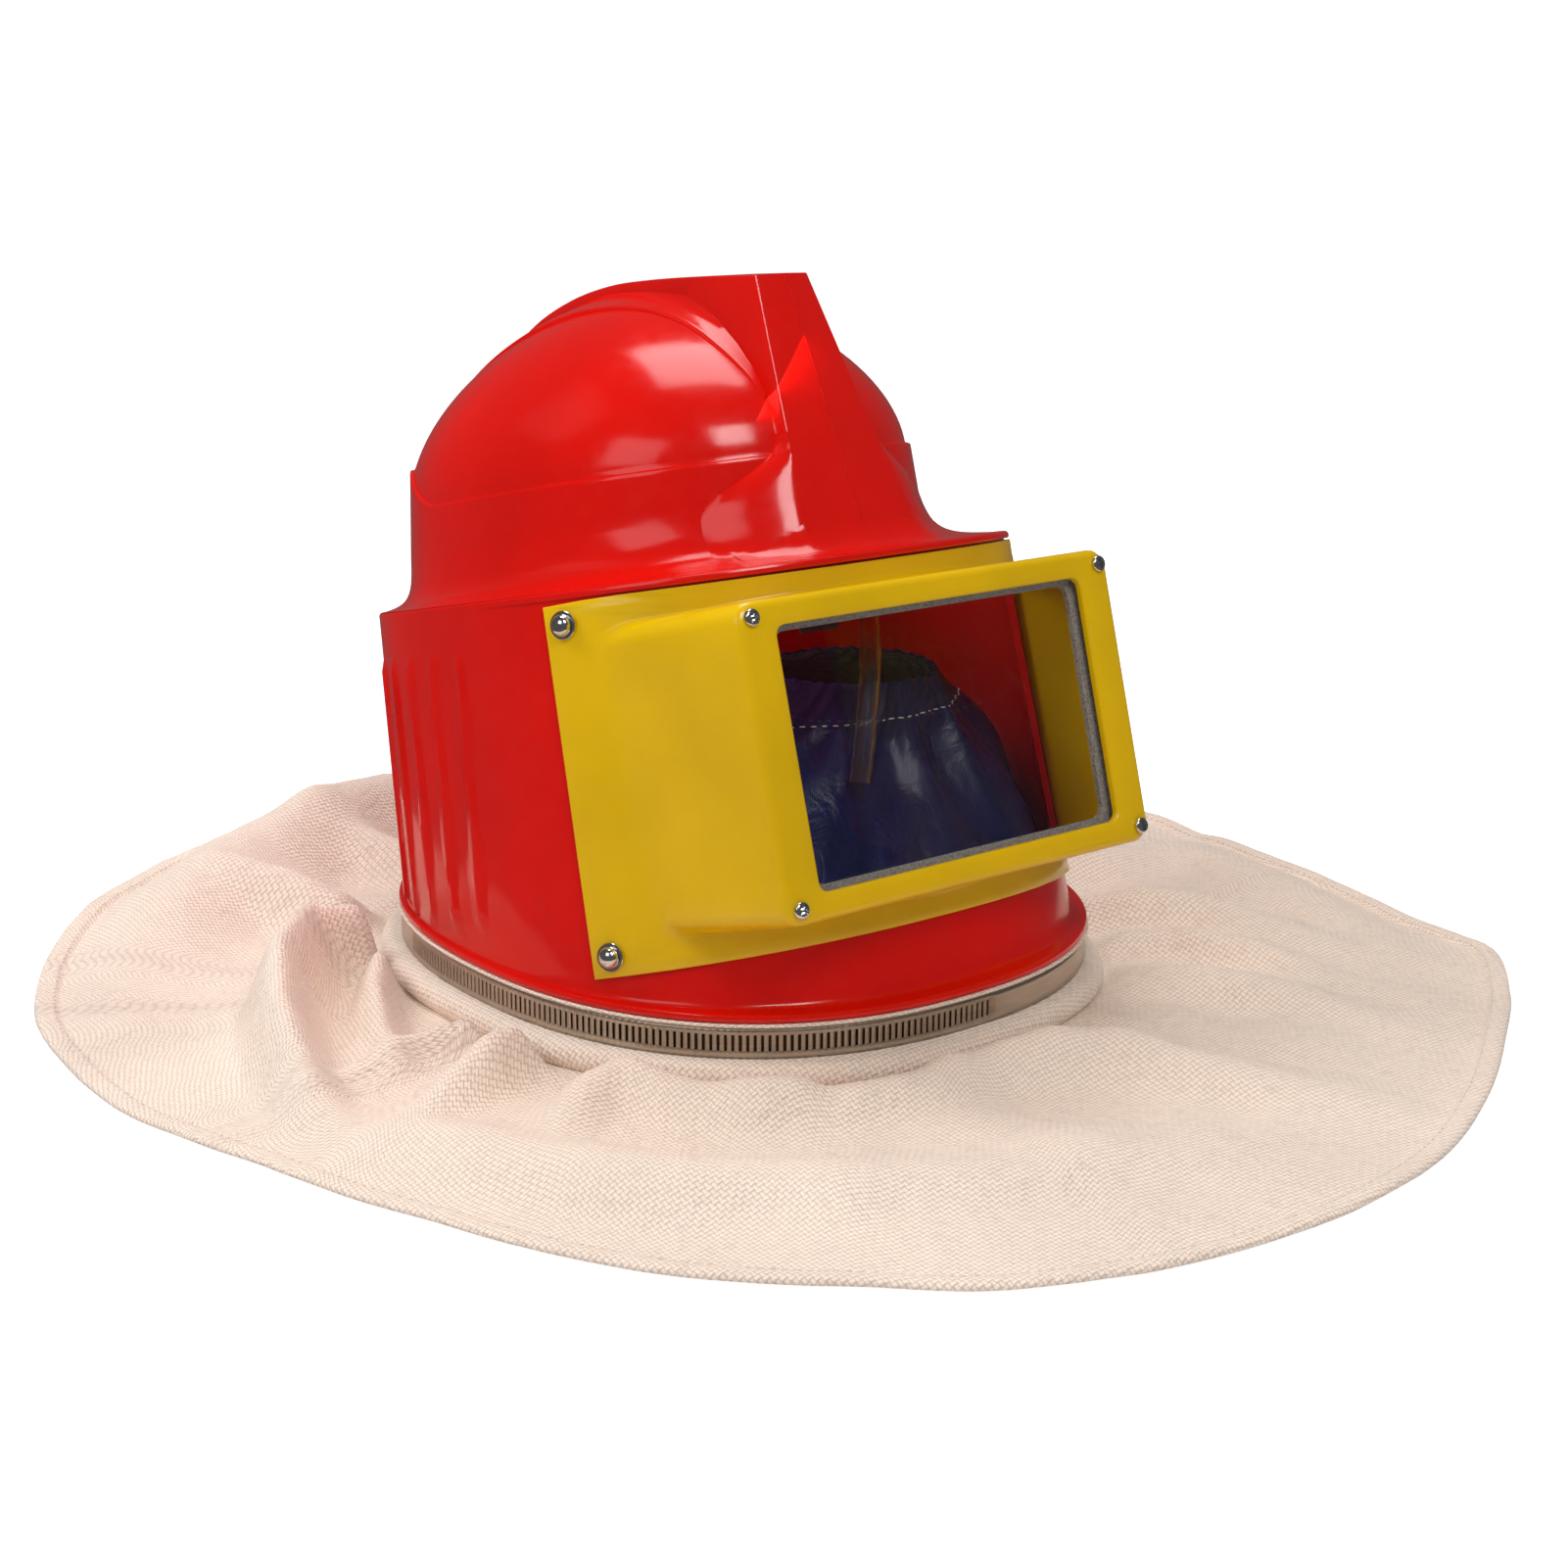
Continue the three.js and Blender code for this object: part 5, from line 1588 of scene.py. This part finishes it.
SEAL_HEIGHT = 121
NECK_RADIUS = 40
NECK_CENTRE = (36, -38)
SEAL_CLOTH = 0.8
SEAL_SIDES = 360

# From the hem to the gathered lip: height as a share of the seal's height, how far the cloth
# has closed towards the neck at the front and elsewhere, and how deep its pleats are
SEAL = [
    (-0.1, 0.0, 0.0, 0.0), (-0.01, 0.0, 0.0, 0.0), (0.18, 0.17, 0.03, 0.25),
    (0.36, 0.34, 0.05, 0.7), (0.49, 0.52, 0.1, 0.95), (0.6, 0.7, 0.17, 1.1),
    (0.69, 0.8, 0.28, 1.2), (0.77, 0.885, 0.43, 1.1), (0.84, 0.94, 0.62, 0.8),
    (0.92, 0.975, 0.86, 0.55), (1.0, 1.0, 1.0, 0.5),
]


def seal_point(angle, share):
    """Point of the seal's outer face."""
    up, front, sides, pleat = through(SEAL, share)
    facing = math.radians(angle)
    forward = max(0, -math.sin(facing)) ** 1.5
    closed = mix(sides, front, forward)
    base = grown(COLLAR, -WALL - LAYER_GAP)
    if share > 0.06:
        base = {**base, "front": FOOT["front"] - WALL - LAYER_GAP}
    hx, hy = oval_towards(base, facing)
    radius = NECK_RADIUS + 1.5
    nx = NECK_CENTRE[0] + radius * math.cos(facing)
    ny = NECK_CENTRE[1] + radius * math.sin(facing)
    waver = noise.noise(Vector((math.cos(facing) * 2.3, math.sin(facing) * 2.3, share * 1.5)))
    coarse = 0.5 + 0.5 * math.cos(11 * facing + 2.4 * waver + 1.2 * share)
    fine = 0.5 + 0.5 * math.cos(41 * facing + 5 * waver)
    gather = smooth(share, 0.72, 0.9)
    fold = -pleat * (mix(6.5, 1.5, gather) * coarse + mix(0.4, 2.2, gather) * fine)
    crimp = 1.5 * gather * math.cos(29 * facing + 3 * waver) * (share - 0.7)
    return Vector((
        mix(hx, nx, closed) + fold * math.cos(facing),
        mix(hy, ny, closed) + fold * math.sin(facing),
        RIM_HEIGHT + SEAL_HEIGHT * up + crimp,
    ))


class HOOD_OT_neck_seal(bpy.types.Operator):
    """Build the gathered nylon neck seal with its row of white stitches"""

    bl_idname = "hood.neck_seal"
    bl_label = "Neck seal"

    def execute(self, context):
        steps = 60
        rings = [
            [seal_point(360 * i / SEAL_SIDES, row / steps) for i in range(SEAL_SIDES)]
            for row in range(steps + 1)
        ]
        bm = loft(rings, caps=False)
        layer = bm.loops.layers.uv.new("cut")
        for face in bm.faces:
            middle = face.calc_center_median()
            # The cloth's two ends meet at the left
            wraps = middle.x < 15 and middle.y > -20
            for loop in face.loops:
                x, y, z = loop.vert.co
                around = math.atan2(y + 20, x - 15)
                if wraps and around < 0:
                    around += TURN
                loop[layer].uv = (around * 130 * MM, (z + 0.6 * (150 - math.hypot(x, y))) * MM)
        seal = finish_piece(
            "nylon_seal", bm, woven_nylon("Nylon taffeta woven", context.scene.hood.nylon_color),
            180, ["neck_seal"],
        )
        seal.data.materials.append(woven_nylon("Nylon lining woven", (0.03, 0.03, 0.05)))
        wall = seal.modifiers.new("Nylon thickness", "SOLIDIFY")
        wall.thickness = SEAL_CLOTH * MM
        wall.offset = -1
        wall.material_offset = 1
        track = []
        for i in range(SEAL_SIDES):
            here = seal_point(360 * i / SEAL_SIDES, 0.83)
            out = Vector((here.x - NECK_CENTRE[0], here.y - NECK_CENTRE[1], 0)).normalized()
            track.append(here + out * 0.35)
        thread = sewing_thread("Thread polyester white", (0.95, 0.94, 0.92))
        line = sew("lip_stitches", track, 5.2, 0.45, 0.1, thread)
        return {"FINISHED"}


# Air tube, from its stub down to its bare end, in rim millimetres
TUBE_ROUTE = [(10, -80, 198), (10, -80, 190), (8, -83.5, 179), (4, -89, 166), (-1, -93, 148),
              (-6, -97, 131), (-11, -100, 116)]
TUBE_RADIUS = 5
TUBE_BORE = 3.7


class HOOD_OT_air_tube(bpy.types.Operator):
    """Build the clear tube that brings the wearer air"""

    bl_idname = "hood.air_tube"
    bl_label = "Air tube"

    def execute(self, context):
        steps = 48
        line = [Vector(through(TUBE_ROUTE, i / steps)) for i in range(steps + 1)]

        def skin(radius, points):
            rings = []
            for i, point in enumerate(points):
                ahead = points[min(i + 1, len(points) - 1)] - points[max(i - 1, 0)]
                turn = Vector((0, 0, -1)).rotation_difference(ahead)
                rings.append([
                    point + turn @ Vector((radius * math.cos(a), radius * math.sin(a), 0))
                    for a in [TURN * k / 24 for k in range(24)]
                ])
            return rings

        ends = skin(TUBE_RADIUS - 0.3, line)
        wall = [ends[0], *skin(TUBE_RADIUS, line), ends[-1]]
        bore = list(reversed(skin(TUBE_BORE, line)))
        clear = clear_plastic("PVC tube clear", "#f1efe9", 0.05, 0.8)
        tube = finish_piece(
            "clear_tube", loft(wall + bore, close=True), clear, 40, ["air_tube"],
        )
        return {"FINISHED"}


class HOOD_OT_harness_strap(bpy.types.Operator):
    """Build the webbing strap that hangs from the head harness"""

    bl_idname = "hood.harness_strap"
    bl_label = "Harness strap"

    def execute(self, context):
        low, high = (Vector(corner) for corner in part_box("harness_strap"))
        low, high = ((corner - rim_centre()) / MM for corner in (low, high))
        x = (low.x + high.x) / 2
        half = (high.x - low.x) / 2
        steps = 40
        rings = []
        for i in range(steps + 1):
            share = i / steps
            z = mix(low.z, high.z - 9, share)
            y = mix(low.y + 1, high.y - 2.5, share)
            rings.append([
                Vector((x + dx, y + dy, z)) for dx, dy in (
                    (half, 0), (half - 0.5, 0.8), (-half + 0.5, 0.8), (-half, 0),
                    (-half + 0.5, -0.8), (half - 0.5, -0.8),
                )
            ])
        finish_piece(
            "webbing_strap", loft(rings), webbing_weave(), 40, ["harness_strap"],
        )
        return {"FINISHED"}


# Studio


def area_light(name, place, target, size, power, mirrored=True):
    """A soft box that faces the hood, and that glossy surfaces mirror or not."""
    light = bpy.data.lights.new(name, "AREA")
    light.shape = "RECTANGLE"
    light.size, light.size_y = size
    light.energy = power
    lamp = new_object(name, light)
    lamp.location = place
    lamp.rotation_euler = (Vector(target) - Vector(place)).to_track_quat("-Z", "Y").to_euler()
    lamp.visible_glossy = mirrored


class HOOD_OT_studio(bpy.types.Operator):
    """Build the floor, the soft light and the camera"""

    bl_idname = "hood.studio"
    bl_label = "Studio"

    # The camera's place from the rim's centre at the rim's height, in millimetres
    camera_place = (-716.0, -917.4, 381.2)
    azimuth = math.radians(-38.96)
    elevation = math.radians(15.44)
    roll = math.radians(0.30)
    focal_pixels = 2531
    photo_pixels = 1601

    def execute(self, context):
        self.floor()
        self.camera()
        self.lights()
        return {"FINISHED"}

    def floor(self):
        bm = bmesh.new()
        bmesh.ops.create_circle(bm, cap_ends=True, segments=96, radius=9)
        material, tree = new_material(
            "Paper sweep white", Roughness=0.95, Emission_Color=(1, 1, 1, 1),
            Specular_IOR_Level=0.0,
        )
        path = add_node(tree, "ShaderNodeLightPath")
        grain = cloud(tree, object_place(tree), 3, 2)
        wire(
            tree, Base_Color=tinted(tree, grain, colour("#cfcfcf"), colour("#d3d3d3")),
            Emission_Strength=graded(tree, path.outputs["Is Camera Ray"], 0.2, 0.85),
        )
        floor = new_object("studio_floor", new_mesh("studio_floor", bm))
        floor.data.materials.append(material)
        # The glossy shell mirrors the dim room, not the paper
        floor.visible_glossy = False

    def camera(self):
        lens = bpy.data.cameras.new("Studio camera")
        lens.sensor_width = 36
        lens.sensor_fit = "HORIZONTAL"
        lens.lens = 36 * self.focal_pixels / self.photo_pixels
        lens.clip_start = 0.01
        camera = new_object("Studio camera", lens)
        back = Vector((
            math.sin(self.azimuth) * math.cos(self.elevation),
            -math.cos(self.azimuth) * math.cos(self.elevation), math.sin(self.elevation),
        ))
        right = Vector((math.cos(self.azimuth), math.sin(self.azimuth), 0))
        up = back.cross(right)
        c, s = math.cos(self.roll), math.sin(self.roll)
        right, up = c * right + s * up, -s * right + c * up
        turn = Matrix((right, up, back)).transposed().to_4x4()
        place = TO_ROW @ (Vector(self.camera_place) + Vector((0, 0, RIM_HEIGHT)))
        camera.matrix_world = Matrix.Translation(place) @ turn
        bpy.context.scene.camera = camera

    def lights(self):
        world = bpy.data.worlds.new("Studio white")
        world.use_nodes = True
        tree = world.node_tree
        # The paper behind is white to the camera, and the room is dim to glossy surfaces
        path = add_node(tree, "ShaderNodeLightPath")
        dim = graded(tree, path.outputs["Is Glossy Ray"], 0.3, 0.09)
        strength = add_node(tree, "ShaderNodeMix", {
            "Factor": path.outputs["Is Camera Ray"], "A": dim, "B": 1.0,
        }, data_type="FLOAT")
        background = tree.nodes["Background"]
        background.inputs["Color"].default_value = colour("#ffffff")
        tree.links.new(strength.outputs["Result"], background.inputs["Strength"])
        bpy.context.scene.world = world
        bpy.context.scene.view_settings.view_transform = "Standard"
        target = (0, 0, 0.15)
        area_light("Left soft box", (-1.9, -0.5, 1.4), target, (1.0, 1.0), 6)
        area_light("Front soft box", (-0.45, -1.6, 1.95), target, (0.8, 0.8), 20)
        # Daylight that comes through the shell's wall
        area_light(
            "Inner glow", (-0.02, 0.0, 0.27), (0.13, -0.08, 0.15), (0.1, 0.1), 0.1,
            mirrored=False,
        )
        area_light("Top soft box", (0.3, 0.5, 2.2), target, (1.1, 1.1), 20)
        area_light("Back soft box", (-1.0, 0.9, 1.45), target, (0.8, 0.8), 15, mirrored=False)


STEPS = [
    HOOD_OT_studio, HOOD_OT_air_tube, HOOD_OT_shell, HOOD_OT_window_frame, HOOD_OT_glazing,
    HOOD_OT_fasteners, HOOD_OT_clamp_band, HOOD_OT_cape, HOOD_OT_neck_seal,
    HOOD_OT_harness_strap,
]


class HOOD_PT_builder(bpy.types.Panel):
    """Lists the hood's pieces and their settings"""

    bl_label = "Sandblasting hood"
    bl_idname = "HOOD_PT_builder"
    bl_space_type = "VIEW_3D"
    bl_region_type = "UI"
    bl_category = "Hood"

    def draw(self, context):
        for name in HoodSettings.__annotations__:
            self.layout.prop(context.scene.hood, name)
        for step in STEPS:
            self.layout.operator(step.bl_idname)


CLASSES = [HoodSettings, *STEPS, HOOD_PT_builder]


def register():
    """Registers the settings, the operators and the panel."""
    for cls in CLASSES:
        bpy.utils.register_class(cls)
    bpy.types.Scene.hood = PointerProperty(type=HoodSettings)


def unregister():
    """Takes them out again."""
    del bpy.types.Scene.hood
    for cls in reversed(CLASSES):
        bpy.utils.unregister_class(cls)


def main():
    register()
    for step in STEPS:
        group, name = step.bl_idname.split(".")
        getattr(getattr(bpy.ops, group), name)()


if __name__ == "__main__":
    main()
